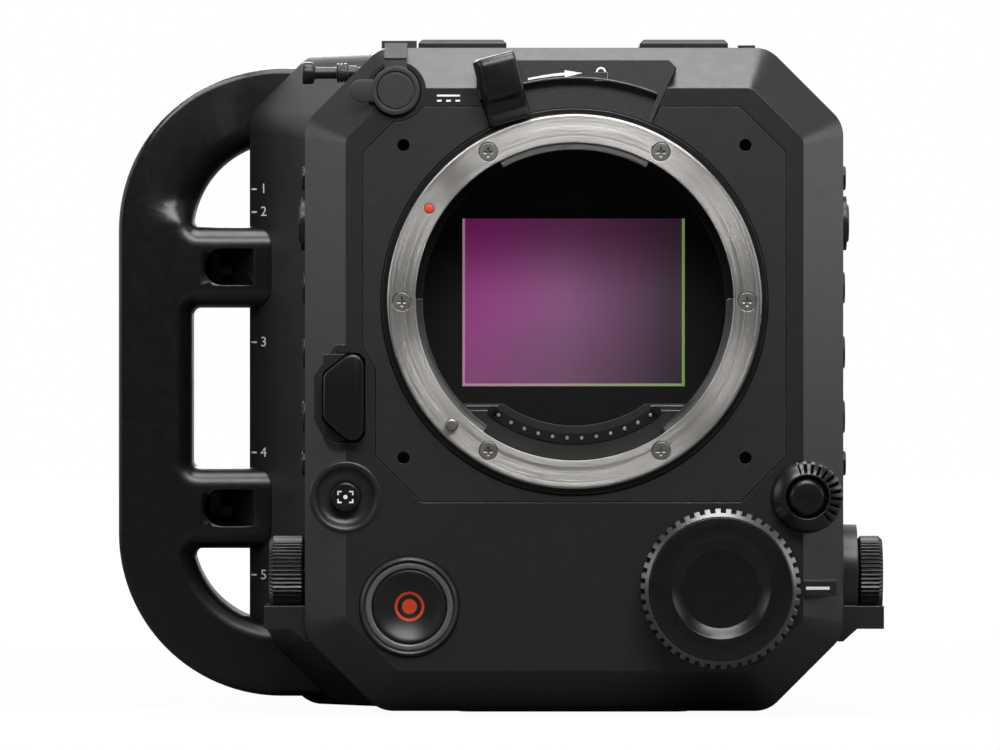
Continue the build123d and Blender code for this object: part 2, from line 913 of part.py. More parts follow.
with BuildPart() as sensor_cover_glass:
    block(glass_front, sensor_front, cover_glass_w, cover_glass_h, lens_axis)

with BuildPart() as image_sensor:
    block(sensor_front, sensor_board_front, sensor_w, sensor_h, lens_axis)

# Lens contacts on a curved block at the bottom of the throat
contact_spots = []
for place in range(contact_count):
    along = 2 * place / (contact_count - 1) - 1
    contact_spots.append(on_mount(contact_circle, 270 + contact_pin_half_angle * along))

with BuildPart() as contact_block:
    with BuildSketch(at_depth(contact_front)):
        with Locations(lens_axis):
            Circle(contact_outer_r)
            Circle(contact_inner_r, mode=Mode.SUBTRACT)
        with Locations((0, axis_z - contact_drop)):
            Rectangle(2 * contact_outer_r, contact_outer_r, align=(Align.CENTER, Align.MAX),
                      mode=Mode.INTERSECT)
    extrude(amount=contact_front - front_wall)
    for spot in contact_spots:
        disc(contact_front, contact_front + contact_pin_seat, contact_pin_r + shaft_gap, spot,
             Mode.SUBTRACT)

with BuildPart() as contact_pins:
    for spot in contact_spots:
        disc(contact_front - contact_pin_proud, contact_front + contact_pin_seat,
             contact_pin_r, spot)

# Sprung lens lock pin, and the button whose link pulls it back
link_front = front_wall + light_box_flange_t + part_gap
with BuildPart() as lens_lock_pin:
    pin_end = link_front + link_t + part_gap + pin_collar_t
    disc(-flange_proud - pin_proud, pin_end, pin_r, pin_spot)
    disc(pin_end - pin_collar_t, pin_end, pin_collar_r, pin_spot)
    fillet(front_edge(lens_lock_pin), pin_tip_r)

with BuildPart() as lens_release_button:
    with BuildSketch(at_depth(-release_proud)):
        release_outline(0)
    extrude(amount=-(release_proud + release_rim))
    fillet(front_face_edges(lens_release_button), release_edge)
    block(release_rim, link_front, release_post_w, release_post_h, (release_x, release_z))
    with BuildSketch(at_depth(link_front)):
        with BuildLine():
            Polyline(
                (release_x - release_post_w / 2, release_z - release_post_h / 2),
                (pin_spot[0], pin_spot[1] - link_w / 2), (pin_spot[0], pin_spot[1] + link_w / 2),
                (release_x - release_post_w / 2, release_z + release_post_h / 2), close=True,
            )
        make_face()
        with Locations(pin_spot):
            Circle(link_w / 2)
            Circle(pin_r + part_gap, mode=Mode.SUBTRACT)
    extrude(amount=-link_t)

# Record button in its bezel
with BuildPart() as rec_bezel:
    ring(-rec_bezel_proud, rec_bezel_seat, rec_bezel_r, rec_r + slide_gap, rec_spot)
    chamfer(front_face_edges(rec_bezel), rec_bezel_edge)

keeper_front = front_wall + part_gap
with BuildPart() as rec_button:
    rec_cap_back = rec_bezel_seat - press_travel - part_gap
    disc(-rec_proud, rec_cap_back, rec_r, rec_spot)
    fillet(front_edge(rec_button), rec_edge)
    disc(rec_cap_back, keeper_front, rec_neck_r, rec_spot)
    disc(keeper_front, keeper_front + keeper_t, rec_neck_r + keeper_w, rec_spot)

# Small button in a dished boss
with BuildPart() as grab_button:
    disc(-grab_proud, keeper_front, grab_r, grab_spot)
    fillet(front_edge(grab_button), grab_edge)
    disc(keeper_front, keeper_front + keeper_t, grab_r + keeper_w, grab_spot)

# Small notched dial with a push button in its middle
with BuildPart() as small_dial:
    dial_end = keeper_front + dial_collar_t
    disc(-small_dial_proud, -part_gap, small_dial_r, small_spot)
    with BuildSketch(at_depth(-small_dial_proud)):
        with Locations(small_spot):
            with PolarLocations(small_dial_r, small_dial_notches):
                Circle(small_dial_notch_r)
            Circle(small_button_r + seam)
    extrude(amount=small_dial_web - small_dial_proud, mode=Mode.SUBTRACT)
    disc(-part_gap, dial_end, dial_shaft_r, small_spot)
    disc(keeper_front, dial_end, dial_shaft_r + small_dial_keeper_w, small_spot)
    disc(-small_dial_proud, dial_end, small_stem_r + slide_gap, small_spot, Mode.SUBTRACT)

with BuildPart() as small_dial_button:
    button_front = -small_dial_proud - small_button_proud
    button_back = button_front + small_button_t
    disc(button_front, button_back, small_button_r, small_spot)
    fillet(front_edge(small_dial_button), small_button_edge)
    disc(button_back, front_wall + small_stem_len, small_stem_r, small_spot)

# Large toothed dial with a dished middle
with BuildPart() as filter_dial:
    dial_front = -part_gap - filter_dial_t
    disc(dial_front, -part_gap, filter_dial_r, filter_spot)
    chamfer(front_face_edges(filter_dial), filter_dial_edge)
    with BuildSketch(at_depth(dial_front)):
        with Locations(filter_spot):
            Circle(filter_dish_r)
    with BuildSketch(at_depth(dial_front + filter_dish_depth)):
        with Locations(filter_spot):
            Circle(filter_dish_floor_r)
    loft(mode=Mode.SUBTRACT)
    tooth_gap = math.pi * filter_dial_r / filter_dial_teeth
    with BuildSketch(at_depth(dial_front)):
        with Locations(filter_spot):
            with PolarLocations(filter_dial_r, filter_dial_teeth):
                Rectangle(2 * filter_tooth_depth, tooth_gap)
    extrude(amount=filter_dial_rim_t - filter_dial_t, mode=Mode.SUBTRACT)
    disc(-part_gap, keeper_front + dial_collar_t, dial_shaft_r, filter_spot)
    disc(keeper_front, keeper_front + dial_collar_t, dial_shaft_r + keeper_w, filter_spot)


# Side wheel beside a side face, on a shaft through the wall
def side_wheel(side, start, thickness):
    keeper = inner_face - part_gap
    with BuildPart() as wheel:
        side_disc(side * start, side * (start + thickness), wheel_r, side_control_d, wheel_z)
        fillet(wheel.edges().sort_by(Axis.X)[-1 if side > 0 else 0], wheel_edge)
        side_disc(side * start, side * (keeper - keeper_t), wheel_shaft_r, side_control_d, wheel_z)
        side_disc(side * keeper, side * (keeper - keeper_t), wheel_shaft_r + keeper_w,
                  side_control_d, wheel_z)
    return wheel


right_side_wheel = side_wheel(1, body_half_w + wheel_boss_t + part_gap, wheel_t)
left_side_wheel = side_wheel(-1, body_half_w + part_gap, left_wheel_t)


# Round side button, kept in the wall by an inner flange
def side_button(side, height, radius, proud):
    inner = side * (inner_face - button_wall_gap)
    with BuildPart() as button:
        side_disc(inner, side * (body_half_w + proud), radius, side_control_d, height)
        fillet(button.edges().sort_by(Axis.X)[-1 if side > 0 else 0], button_edge)
        side_disc(inner, inner - side * button_flange_t, radius + button_flange_w,
                  side_control_d, height)
    return button


side_buttons = {}
for side, word in ((-1, "left"), (1, "right")):
    sizes = zip(side_button_heights, side_button_radii, side_button_prouds)
    for place, (height, radius, proud) in enumerate(sizes, start=1):
        side_buttons[word + "_button_" + str(place)] = side_button(side, height, radius, proud)

# Direct-current outlet with its rubber cap and strap
with BuildPart() as dc_outlet:
    disc(outlet_front, front_wall, outlet_r, outlet_spot)
    ring(outlet_front, front_wall - outlet_floor_t, outlet_bore_r, outlet_pin_r, outlet_spot,
         Mode.SUBTRACT)
    disc(outlet_front, outlet_front + cap_plug_len + part_gap, outlet_bore_r, outlet_spot,
         Mode.SUBTRACT)

with BuildPart() as dc_cap:
    cap_back = outlet_front - part_gap
    disc(-cap_proud, cap_back, cap_r, outlet_spot)
    disc(cap_back, outlet_front + cap_plug_len, cap_plug_r, outlet_spot)
    block(-cap_proud, tab_t - cap_proud, tab_len, tab_h, (outlet_x - tab_len / 2, outlet_z))
    block(-cap_proud, tab_t - cap_proud, strap_w, cap_r + strap_lug_h,
          (outlet_x, outlet_z + (cap_r + strap_lug_h) / 2))

with BuildPart() as dc_cap_strap:
    strap_low = outlet_z + cap_r + strap_lug_h
    strap_front = front_y - cap_proud
    bend = front_y + front_bevel
    with BuildSketch(Plane.YZ.offset(outlet_x - strap_w / 2)):
        with BuildLine():
            Polyline(
                (strap_front, strap_low), (strap_front + strap_t, strap_low), (bend, body_top),
                (bend + strap_foot_len, body_top), (bend + strap_foot_len, body_top + strap_t),
                (bend - strap_bend, body_top + strap_t), close=True,
            )
        make_face()
    extrude(amount=strap_w)
    up_block(body_top, body_top + strap_bar_t, strap_bar_w, strap_bar_len,
             outlet_x + strap_bar_shift, front_bevel + strap_peg_inset)
    up_disc(body_top - strap_peg_len, body_top, strap_peg_r, outlet_x,
            front_bevel + strap_peg_inset)


# Covers behind the front shell, cut from one hollow envelope
def cover_share(low_x, high_x, low_z, high_z):
    add(outer_hull)
    add(inner_hull, mode=Mode.SUBTRACT)
    block(0, body_d, high_x - low_x, high_z - low_z, ((low_x + high_x) / 2, (low_z + high_z) / 2),
          Mode.INTERSECT)


def door_pin_holes(x, depth, low, high):
    for end, side in ((low, -1), (high, 1)):
        start = end + side * door_gap
        up_disc(min(start, start + side * 2 * door_pin_len),
                max(start, start + side * 2 * door_pin_len), door_pin_r + shaft_gap, x, depth,
                Mode.SUBTRACT)


def cover_screw_holes(side, face):
    for height in cover_screw_heights:
        side_disc(side * (face - cover_screw_head_t), side * (face + lap),
                  cover_screw_head_r + seam, cover_screw_d, height, Mode.SUBTRACT)
        side_disc(side * (face - side_wall - lap), side * (face + lap),
                  cover_screw_r + shaft_gap, cover_screw_d, height, Mode.SUBTRACT)


network_z = axis_z - network_drop
usb_z = body_bottom + usb_rise
left_display_d = body_d - left_display_margin - left_display_w / 2
with BuildPart() as connector_side_cover:
    outside = -flare_x - lap
    inside = -flare_x + side_wall + lap
    cover_share(-flare_x, -split_x, body_bottom, body_top)
    for rise in jack_rises:
        side_disc(outside, inside, jack_r + shaft_gap, jack_d, axis_z + rise, Mode.SUBTRACT)
    side_block(outside, inside, network_w + 2 * slide_gap, network_h + 2 * slide_gap,
               port_d, network_z, Mode.SUBTRACT)
    side_block(outside, inside, usb_w + 2 * slide_gap, usb_h + 2 * slide_gap, port_d, usb_z,
               Mode.SUBTRACT)
    side_block(outside, -flare_x + display_t, left_display_w, left_display_h, left_display_d,
               axis_z + left_display_rise, Mode.SUBTRACT)
    for height in arm_heights:
        side_disc(outside, inside, handle_screw_r, handle_axis_d, height, Mode.SUBTRACT)
    cover_screw_holes(-1, flare_x)

door_hinge_x = body_half_w - door_t / 2
door_hinge_d = card_door_d + card_door_w / 2 - door_t / 2
with BuildPart() as control_side_cover:
    cover_share(split_x, body_half_w, body_bottom, body_top)
    side_block(body_half_w - door_t - door_gap, body_half_w + lap, card_door_w + 2 * door_gap,
               card_door_h + 2 * door_gap, card_door_d, card_door_z, Mode.SUBTRACT)
    for shift, width, height in zip(card_slot_shifts, card_slot_widths, card_slot_heights):
        side_block(inner_face - lap, body_half_w + lap, width, height, card_door_d + shift,
                   card_door_z, Mode.SUBTRACT)
    door_pin_holes(door_hinge_x, door_hinge_d, card_door_z - card_door_h / 2,
                   card_door_z + card_door_h / 2)
    side_block(body_half_w - display_t, body_half_w + lap, right_display_w, right_display_h,
               card_door_d, right_display_z, Mode.SUBTRACT)
    cover_screw_holes(1, body_half_w)

with BuildPart() as top_cover:
    cover_share(-split_x, split_x, body_middle, body_top)
    for side in (-1, 1):
        for place in (-1, 1):
            up_disc(body_top - side_wall - lap, body_top + lap, pad_hole_r, side * pad_x,
                    pad_middle_d + place * pad_hole_dy / 2, Mode.SUBTRACT)

with BuildPart() as bottom_cover:
    cover_share(-split_x, split_x, body_bottom, body_middle)
    boss_top = body_bottom + side_wall + lap
    up_block(0, base_t, base_w + 2 * seam, base_len + 2 * seam, 0, base_depth, Mode.SUBTRACT)
    up_disc(0, boss_top, tripod_boss_r + seam, 0, base_depth, Mode.SUBTRACT)
    for place in (-1, 1):
        up_disc(0, boss_top, small_boss_r + seam, 0, base_depth + place * small_thread_out,
                Mode.SUBTRACT)

# Base plate with a large tripod thread between two small ones
with BuildPart() as base_plate:
    with BuildSketch(Plane.XY):
        RectangleRounded(base_w, base_len, base_corner_r)
    extrude(amount=base_t)
    up_disc(0, tripod_depth + base_boss_wall, tripod_boss_r, 0, base_depth)
    for place in (-1, 1):
        up_disc(0, small_thread_depth + base_boss_wall, small_boss_r, 0,
                base_depth + place * small_thread_out)
    up_disc(0, tripod_depth, tripod_r, 0, base_depth, Mode.SUBTRACT)
    for place in (-1, 1):
        up_disc(0, small_thread_depth, small_thread_r, 0, base_depth + place * small_thread_out,
                Mode.SUBTRACT)

# Rear cover with the battery bay moulded on
bay_front = rear_front - battery_d - battery_gap - bay_wall
video_spots = [(place * video_x, video_z) for place in (-1, 0, 1)]
battery_hinge_x = -battery_door_w / 2 + door_t / 2
with BuildPart() as rear_cover:
    with BuildSketch(at_depth(rear_front)):
        body_outline(0, corner_r, flare_x, flare_cut)
    extrude(amount=-rear_wall)
    chamfer(rear_cover.faces().sort_by(Axis.Y)[-1].edges(), rear_chamfer)
    block(body_d - door_t - door_gap, body_d, battery_door_w + 2 * door_gap,
          battery_door_h + 2 * door_gap, (0, battery_z), Mode.SUBTRACT)
    block(bay_front, rear_front, battery_w + 2 * (battery_gap + bay_wall),
          battery_h + 2 * (battery_gap + bay_wall), (0, battery_z))
    block(bay_front + bay_wall, body_d, battery_w + 2 * battery_gap,
          battery_h + 2 * battery_gap, (0, battery_z), Mode.SUBTRACT)
    door_pin_holes(battery_hinge_x, body_d - door_t / 2, battery_z - battery_door_h / 2,
                   battery_z + battery_door_h / 2)
    for spot in video_spots:
        disc(rear_front, body_d, video_r + shaft_gap, spot, Mode.SUBTRACT)
    for place in range(vent_slots):
        block(rear_front, body_d, vent_w, vent_h,
              ((place - (vent_slots - 1) / 2) * vent_pitch, axis_z), Mode.SUBTRACT)

# Pads with threaded holes along the top, and a small end stop beside them
with BuildPart() as top_pads:
    for side in (-1, 1):
        up_block(body_top, body_top + pad_h, pad_w, pad_len, side * pad_x, pad_middle_d)
    chamfer(top_pads.faces().filter_by(Axis.Z).group_by(Axis.Z)[-1].edges(), pad_edge)
    for side in (-1, 1):
        for place in (-1, 1):
            up_disc(body_top, body_top + pad_h, pad_hole_r, side * pad_x,
                    pad_middle_d + place * pad_hole_dy / 2, Mode.SUBTRACT)
    up_block(body_top, body_top + stop_h, stop_w, stop_len,
             pad_x + pad_w / 2 + stop_gap + stop_w / 2, stop_d)

# Stud for a measuring tape, standing out of the cut corner
with BuildPart() as tape_hook:
    hook_end = hook_root - hook_len
    collar_start = hook_root - hook_neck
    side_disc(hook_root + hook_seat - part_gap, hook_end, hook_r, hook_d, hook_z)
    side_disc(collar_start, collar_start - hook_collar_t, hook_collar_r, hook_d, hook_z)
    side_disc(hook_end, hook_end + hook_head_t, hook_head_r, hook_d, hook_z)
    fillet(tape_hook.edges().sort_by(Axis.X)[0], hook_edge)

# Side handle: a rounded grip bar with two arms, seated on the flared side
handle_root = handle_root_in - body_half_w


def handle_outline(inset):
    with BuildLine() as outline:
        bow = FilletPolyline(
            (handle_root, handle_top - inset), (inset - handle_out, handle_top - inset),
            (inset - handle_out, handle_bottom + inset), (handle_root, handle_bottom + inset),
            radius=handle_corner_r - inset,
        )
        Line(bow @ 1, bow @ 0)
    return outline.edges()


def outer_side(edge):
    place = edge.center()
    return (place.X < handle_root - lap
            and (place.X < grip_w / 2 - handle_out or place.Z > handle_top - grip_w / 2
                 or place.Z < handle_bottom + grip_w / 2))


# Pockets for the handle screws: round outside, straight beside the body
pocket_left = -flare_x - pocket_far
with BuildPart() as pocket_tool:
    with BuildSketch(at_depth(handle_front)):
        for height in arm_heights:
            with Locations((pocket_left + pocket_h, height)):
                SlotOverall(2 * pocket_h, pocket_h)
            with Locations((pocket_left + pocket_h, height)):
                Rectangle(pocket_h, pocket_h, align=(Align.MIN, Align.CENTER))
    extrude(amount=-pocket_depth)
    add(pocket_hull, mode=Mode.SUBTRACT)

with BuildPart() as handle:
    with BuildSketch(at_depth(handle_front)):
        make_face(handle_outline(0))
        make_face(handle_outline(grip_w), mode=Mode.SUBTRACT)
        for height in arm_heights:
            with Locations(((handle_root + grip_w / 2 - handle_out) / 2, height)):
                Rectangle(handle_root + handle_out - grip_w / 2, arm_h)
    extrude(amount=-handle_d)
    inside_corners = handle.edges().filter_by(Axis.Y).filter_by(
        lambda edge: edge.center().X < handle_root - lap
        and min(abs(abs(edge.center().Z - height) - arm_h / 2) for height in arm_heights) < seam
    )
    fillet(inside_corners, arm_corner_r)
    rims = handle.faces().filter_by(Axis.Y).edges()
    fillet(rims.filter_by(outer_side), handle_edge)
    inner_rims = handle.faces().filter_by(Axis.Y).edges().filter_by(
        lambda edge: edge.center().X < handle_root - lap and not outer_side(edge)
    )
    fillet(inner_rims, grip_inner_edge)
    add(outer_hull, mode=Mode.SUBTRACT)
    add(pocket_tool.part, mode=Mode.SUBTRACT)
    for height in arm_heights:
        side_disc(-flare_x, pocket_left + pocket_h / 2, handle_screw_r + seam, handle_axis_d,
                  height, Mode.SUBTRACT)

with BuildPart() as side_screws:
    handle_seat = -flare_x - pocket_web
    for height in arm_heights:
        head_end = handle_seat - handle_screw_head_t
        side_disc(handle_seat, head_end, handle_screw_head_r, handle_axis_d, height)
        side_disc(handle_seat, handle_seat + handle_screw_len, handle_screw_r - shaft_gap,
                  handle_axis_d, height)
        side_disc(head_end, head_end + handle_screw_socket_d, handle_screw_socket_r,
                  handle_axis_d, height, Mode.SUBTRACT)
    for side, face in ((-1, flare_x), (1, body_half_w)):
        seat = side * (face - cover_screw_head_t)
        for height in cover_screw_heights:
            side_disc(seat, side * (face - slide_gap), cover_screw_head_r, cover_screw_d, height)
            side_disc(seat, seat - side * cover_screw_len, cover_screw_r, cover_screw_d, height)

# Inner frame: a bulkhead on four front posts, with rails to the rear cover
frame_back = frame_plate_front + frame_plate_t
carrier_front = sensor_board_front + board_t
main_board_z = body_bottom + main_board_rise
main_board_back = main_board_front + board_t
with BuildPart() as inner_frame:
    with BuildSketch(at_depth(frame_plate_front)):
        body_outline(side_wall, corner_r)
    extrude(amount=-frame_plate_t)
    block(carrier_front, frame_plate_front, sensor_board_w, sensor_board_h, lens_axis)
    for side in (-1, 1):
        disc(front_wall, frame_plate_front, frame_post_r,
             (side * top_post_x, body_top - top_post_drop))
        disc(front_wall, frame_plate_front, frame_post_r,
             (side * low_post_x, body_bottom + low_post_rise))
        for height in (body_bottom + low_rail_rise, body_top - top_rail_drop):
            disc(frame_back, rear_front, frame_post_r,
                 (side * (main_board_w / 2 + rail_margin), height))
        for place in (-1, 1):
            disc(frame_back, main_board_front, standoff_r,
                 (side * (main_board_w / 2 - standoff_inset),
                  main_board_z + place * (main_board_h / 2 - standoff_inset)))

with BuildPart() as circuit_boards:
    block(sensor_board_front, carrier_front, sensor_board_w, sensor_board_h, lens_axis)
    block(main_board_front, main_board_back, main_board_w, main_board_h, (0, main_board_z))

with BuildPart() as heat_sink:
    block(main_board_back, main_board_back + sink_base_t, sink_w, sink_w, lens_axis)
    fin_pitch = (sink_w - fin_t) / (fin_count - 1)
    for place in range(fin_count):
        block(main_board_back, main_board_back + sink_h, fin_t, sink_w,
              ((place - (fin_count - 1) / 2) * fin_pitch, axis_z))

fan_front = main_board_back + sink_h
fan_back = fan_front + fan_frame_t
web_front = fan_back - fan_web_t
with BuildPart() as fan_frame:
    block(fan_front, fan_back, sink_w, sink_w, lens_axis)
    disc(fan_front, fan_back, fan_bore_r, lens_axis, Mode.SUBTRACT)
    disc(web_front, fan_back, fan_hub_r, lens_axis)
    block(web_front, fan_back, 2 * fan_bore_r + lap, fan_spoke_w, lens_axis)
    block(web_front, fan_back, fan_spoke_w, 2 * fan_bore_r + lap, lens_axis)
    disc(web_front, fan_back, fan_shaft_r + shaft_gap, lens_axis, Mode.SUBTRACT)

with BuildPart() as fan_rotor:
    hub_back = web_front - part_gap
    hub_front = hub_back - fan_hub_t
    blade_r = fan_bore_r - fan_blade_gap
    blade_len = blade_r - fan_hub_r + fan_blade_root
    disc(hub_front, hub_back, fan_hub_r, lens_axis)
    disc(hub_back, fan_back, fan_shaft_r, lens_axis)
    with BuildSketch(at_depth(hub_front)):
        with Locations(lens_axis):
            with PolarLocations(blade_r - blade_len / 2, fan_blades):
                Rectangle(blade_len, fan_blade_t)
    extrude(amount=fan_blade_root - fan_hub_t)


# Door on a hinge pin: the pin stands out of both ends of the hinge barrel
def door_hinge(x, depth, low, high):
    up_disc(low, high, door_t / 2, x, depth)
    up_disc(low - door_gap - door_pin_len, high + door_gap + door_pin_len, door_pin_r, x, depth)


# Battery in its bay, and its door
with BuildPart() as battery:
    block(bay_front + bay_wall, bay_front + bay_wall + battery_d, battery_w, battery_h,
          (0, battery_z))
    fillet(battery.edges().filter_by(Axis.Y), battery_edge)

with BuildPart() as battery_door:
    block(body_d - door_t, body_d, battery_door_w - door_t / 2, battery_door_h,
          (door_t / 4, battery_z))
    door_hinge(battery_hinge_x, body_d - door_t / 2, battery_z - battery_door_h / 2,
               battery_z + battery_door_h / 2)

with BuildPart() as card_door:
    side_block(body_half_w - door_t, body_half_w, card_door_w - door_t / 2, card_door_h,
               card_door_d - door_t / 4, card_door_z)
    door_hinge(door_hinge_x, door_hinge_d, card_door_z - card_door_h / 2,
               card_door_z + card_door_h / 2)

# Connectors
with BuildPart() as round_jacks:
    for rise in jack_rises:
        side_disc(-flare_x - jack_proud, -flare_x + jack_len, jack_r, jack_d, axis_z + rise)
        side_disc(-flare_x - jack_proud, -flare_x + jack_len - port_floor_t, jack_bore_r, jack_d,
                  axis_z + rise, Mode.SUBTRACT)

with BuildPart() as data_ports:
    side_block(-flare_x, -flare_x + network_len, network_w, network_h, port_d, network_z)
    side_block(-flare_x, -flare_x + network_hole_len, network_hole_w, network_hole_h, port_d,
               network_z, Mode.SUBTRACT)
    side_block(-flare_x, -flare_x + usb_len, usb_w, usb_h, port_d, usb_z)
    side_block(-flare_x, -flare_x + usb_len - port_floor_t, usb_w - 2 * usb_wall,
               usb_h - 2 * usb_wall, port_d, usb_z, Mode.SUBTRACT)
    side_block(-flare_x + lap, -flare_x + usb_len, usb_tongue_w, usb_tongue_t, port_d, usb_z)

with BuildPart() as video_sockets:
    for spot in video_spots:
        disc(rear_front, body_d + video_len, video_r, spot)
        disc(body_d, body_d + video_flange_t, video_flange_r, spot)
        disc(body_d, body_d + video_len, video_bore_r, spot, Mode.SUBTRACT)
        disc(body_d, body_d + video_pin_len, video_pin_r, spot)

# Side displays
with BuildPart() as side_displays:
    side_block(-flare_x, -flare_x + display_t, left_display_w - 2 * slide_gap,
               left_display_h - 2 * slide_gap, left_display_d, axis_z + left_display_rise)
    side_block(body_half_w - display_t, body_half_w, right_display_w - 2 * slide_gap,
               right_display_h - 2 * slide_gap, card_door_d, right_display_z)

nodes = {
    "front_shell": front_shell,
    "mount_plate": mount_plate,
    "lock_plate": lock_plate,
    "mount_ring": mount_ring,
    "mount_screws": mount_screws,
    "lock_ring": lock_ring,
    "lock_lever": lock_lever,
    "light_box": light_box,
    "nd_filter": nd_filter,
    "sensor_cover_glass": sensor_cover_glass,
    "image_sensor": image_sensor,
    "contact_block": contact_block,
    "contact_pins": contact_pins,
    "lens_lock_pin": lens_lock_pin,
    "lens_release_button": lens_release_button,
    "rec_bezel": rec_bezel,
    "rec_button": rec_button,
    "grab_button": grab_button,
    "small_dial": small_dial,
    "small_dial_button": small_dial_button,
    "filter_dial": filter_dial,
    "right_side_wheel": right_side_wheel,
    "left_side_wheel": left_side_wheel,
    "dc_outlet": dc_outlet,
    "dc_cap": dc_cap,
    "dc_cap_strap": dc_cap_strap,
    "connector_side_cover": connector_side_cover,
    "control_side_cover": control_side_cover,
    "top_cover": top_cover,
    "bottom_cover": bottom_cover,
    "base_plate": base_plate,
    "rear_cover": rear_cover,
    "top_pads": top_pads,
    "tape_hook": tape_hook,
    "handle": handle,
    "side_screws": side_screws,
    "inner_frame": inner_frame,
    "circuit_boards": circuit_boards,
    "heat_sink": heat_sink,
    "fan_frame": fan_frame,
    "fan_rotor": fan_rotor,
    "battery": battery,
    "battery_door": battery_door,
    "card_door": card_door,
    "round_jacks": round_jacks,
    "data_ports": data_ports,
    "video_sockets": video_sockets,
    "side_displays": side_displays,
}
nodes.update(side_buttons)
os.makedirs("parts", exist_ok=True)
for name, node in nodes.items():
    node.part.label = name
    export_step(node.part, "parts/" + name + ".step")
print(len(nodes), "nodes written")
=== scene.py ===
import bpy
import bmesh
import math
from mathutils import Matrix, Vector


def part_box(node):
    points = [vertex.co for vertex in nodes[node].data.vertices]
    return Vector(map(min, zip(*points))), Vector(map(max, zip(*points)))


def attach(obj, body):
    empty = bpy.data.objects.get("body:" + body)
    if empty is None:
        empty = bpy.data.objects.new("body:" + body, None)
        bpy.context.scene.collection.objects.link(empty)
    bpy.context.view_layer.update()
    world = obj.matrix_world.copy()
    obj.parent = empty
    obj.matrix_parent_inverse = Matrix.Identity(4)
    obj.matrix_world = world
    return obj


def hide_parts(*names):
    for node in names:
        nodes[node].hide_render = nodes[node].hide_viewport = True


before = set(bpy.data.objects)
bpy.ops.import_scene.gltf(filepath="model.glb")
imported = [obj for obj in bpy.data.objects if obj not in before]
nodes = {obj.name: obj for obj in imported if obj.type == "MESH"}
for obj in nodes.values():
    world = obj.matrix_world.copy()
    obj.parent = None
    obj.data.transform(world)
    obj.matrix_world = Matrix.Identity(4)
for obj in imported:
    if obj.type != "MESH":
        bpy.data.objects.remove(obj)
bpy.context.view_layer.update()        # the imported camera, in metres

scene = bpy.context.scene
scene.view_settings.view_transform = "Standard"
mm = 0.001
frontPlane = -60.0        # the front casting's face, in millimetres

# Every new piece is modelled with its Z pointing out of the face that it sits on.
outOf = {"front": Matrix.Rotation(math.pi / 2, 4, "X")}
outOf["right"] = Matrix.Rotation(math.pi / 2, 4, "Z") @ outOf["front"]
outOf["left"] = Matrix.Rotation(-math.pi / 2, 4, "Z") @ outOf["front"]


# Finishes: a wire is one socket of a node tree, so that shader sums read as plain sums.
class Wire:
    def __init__(self, finish, socket):
        self.finish = finish
        self.socket = socket

    def sum(self, operation, *values, clamp=False):
        settings = {"operation": operation, "use_clamp": clamp}
        return self.finish.add("ShaderNodeMath", settings, dict(enumerate(values)))

    def __add__(self, other):
        return self.sum("ADD", self, other)

    def __radd__(self, other):
        return self.sum("ADD", other, self)

    def __sub__(self, other):
        return self.sum("SUBTRACT", self, other)

    def __rsub__(self, other):
        return self.sum("SUBTRACT", other, self)

    def __mul__(self, other):
        return self.sum("MULTIPLY", self, other)

    def __rmul__(self, other):
        return self.sum("MULTIPLY", other, self)

    def __pow__(self, other):
        return self.sum("POWER", self, other)

    def __rpow__(self, other):
        return self.sum("POWER", other, self)

    def held(self):
        return self.sum("ADD", self, 0.0, clamp=True)

    def apart(self):
        return self.sum("ABSOLUTE", self)

    def over(self, edge, soft):
        # 0 below the edge, 1 above it, with a soft step between
        settings = {"interpolation_type": "SMOOTHSTEP"}
        inputs = {0: self, 1: edge - soft, 2: edge + soft}
        return self.finish.add("ShaderNodeMapRange", settings, inputs)

    def axis(self, name):
        return self.finish.add("ShaderNodeSeparateXYZ", {}, {0: self}, name)


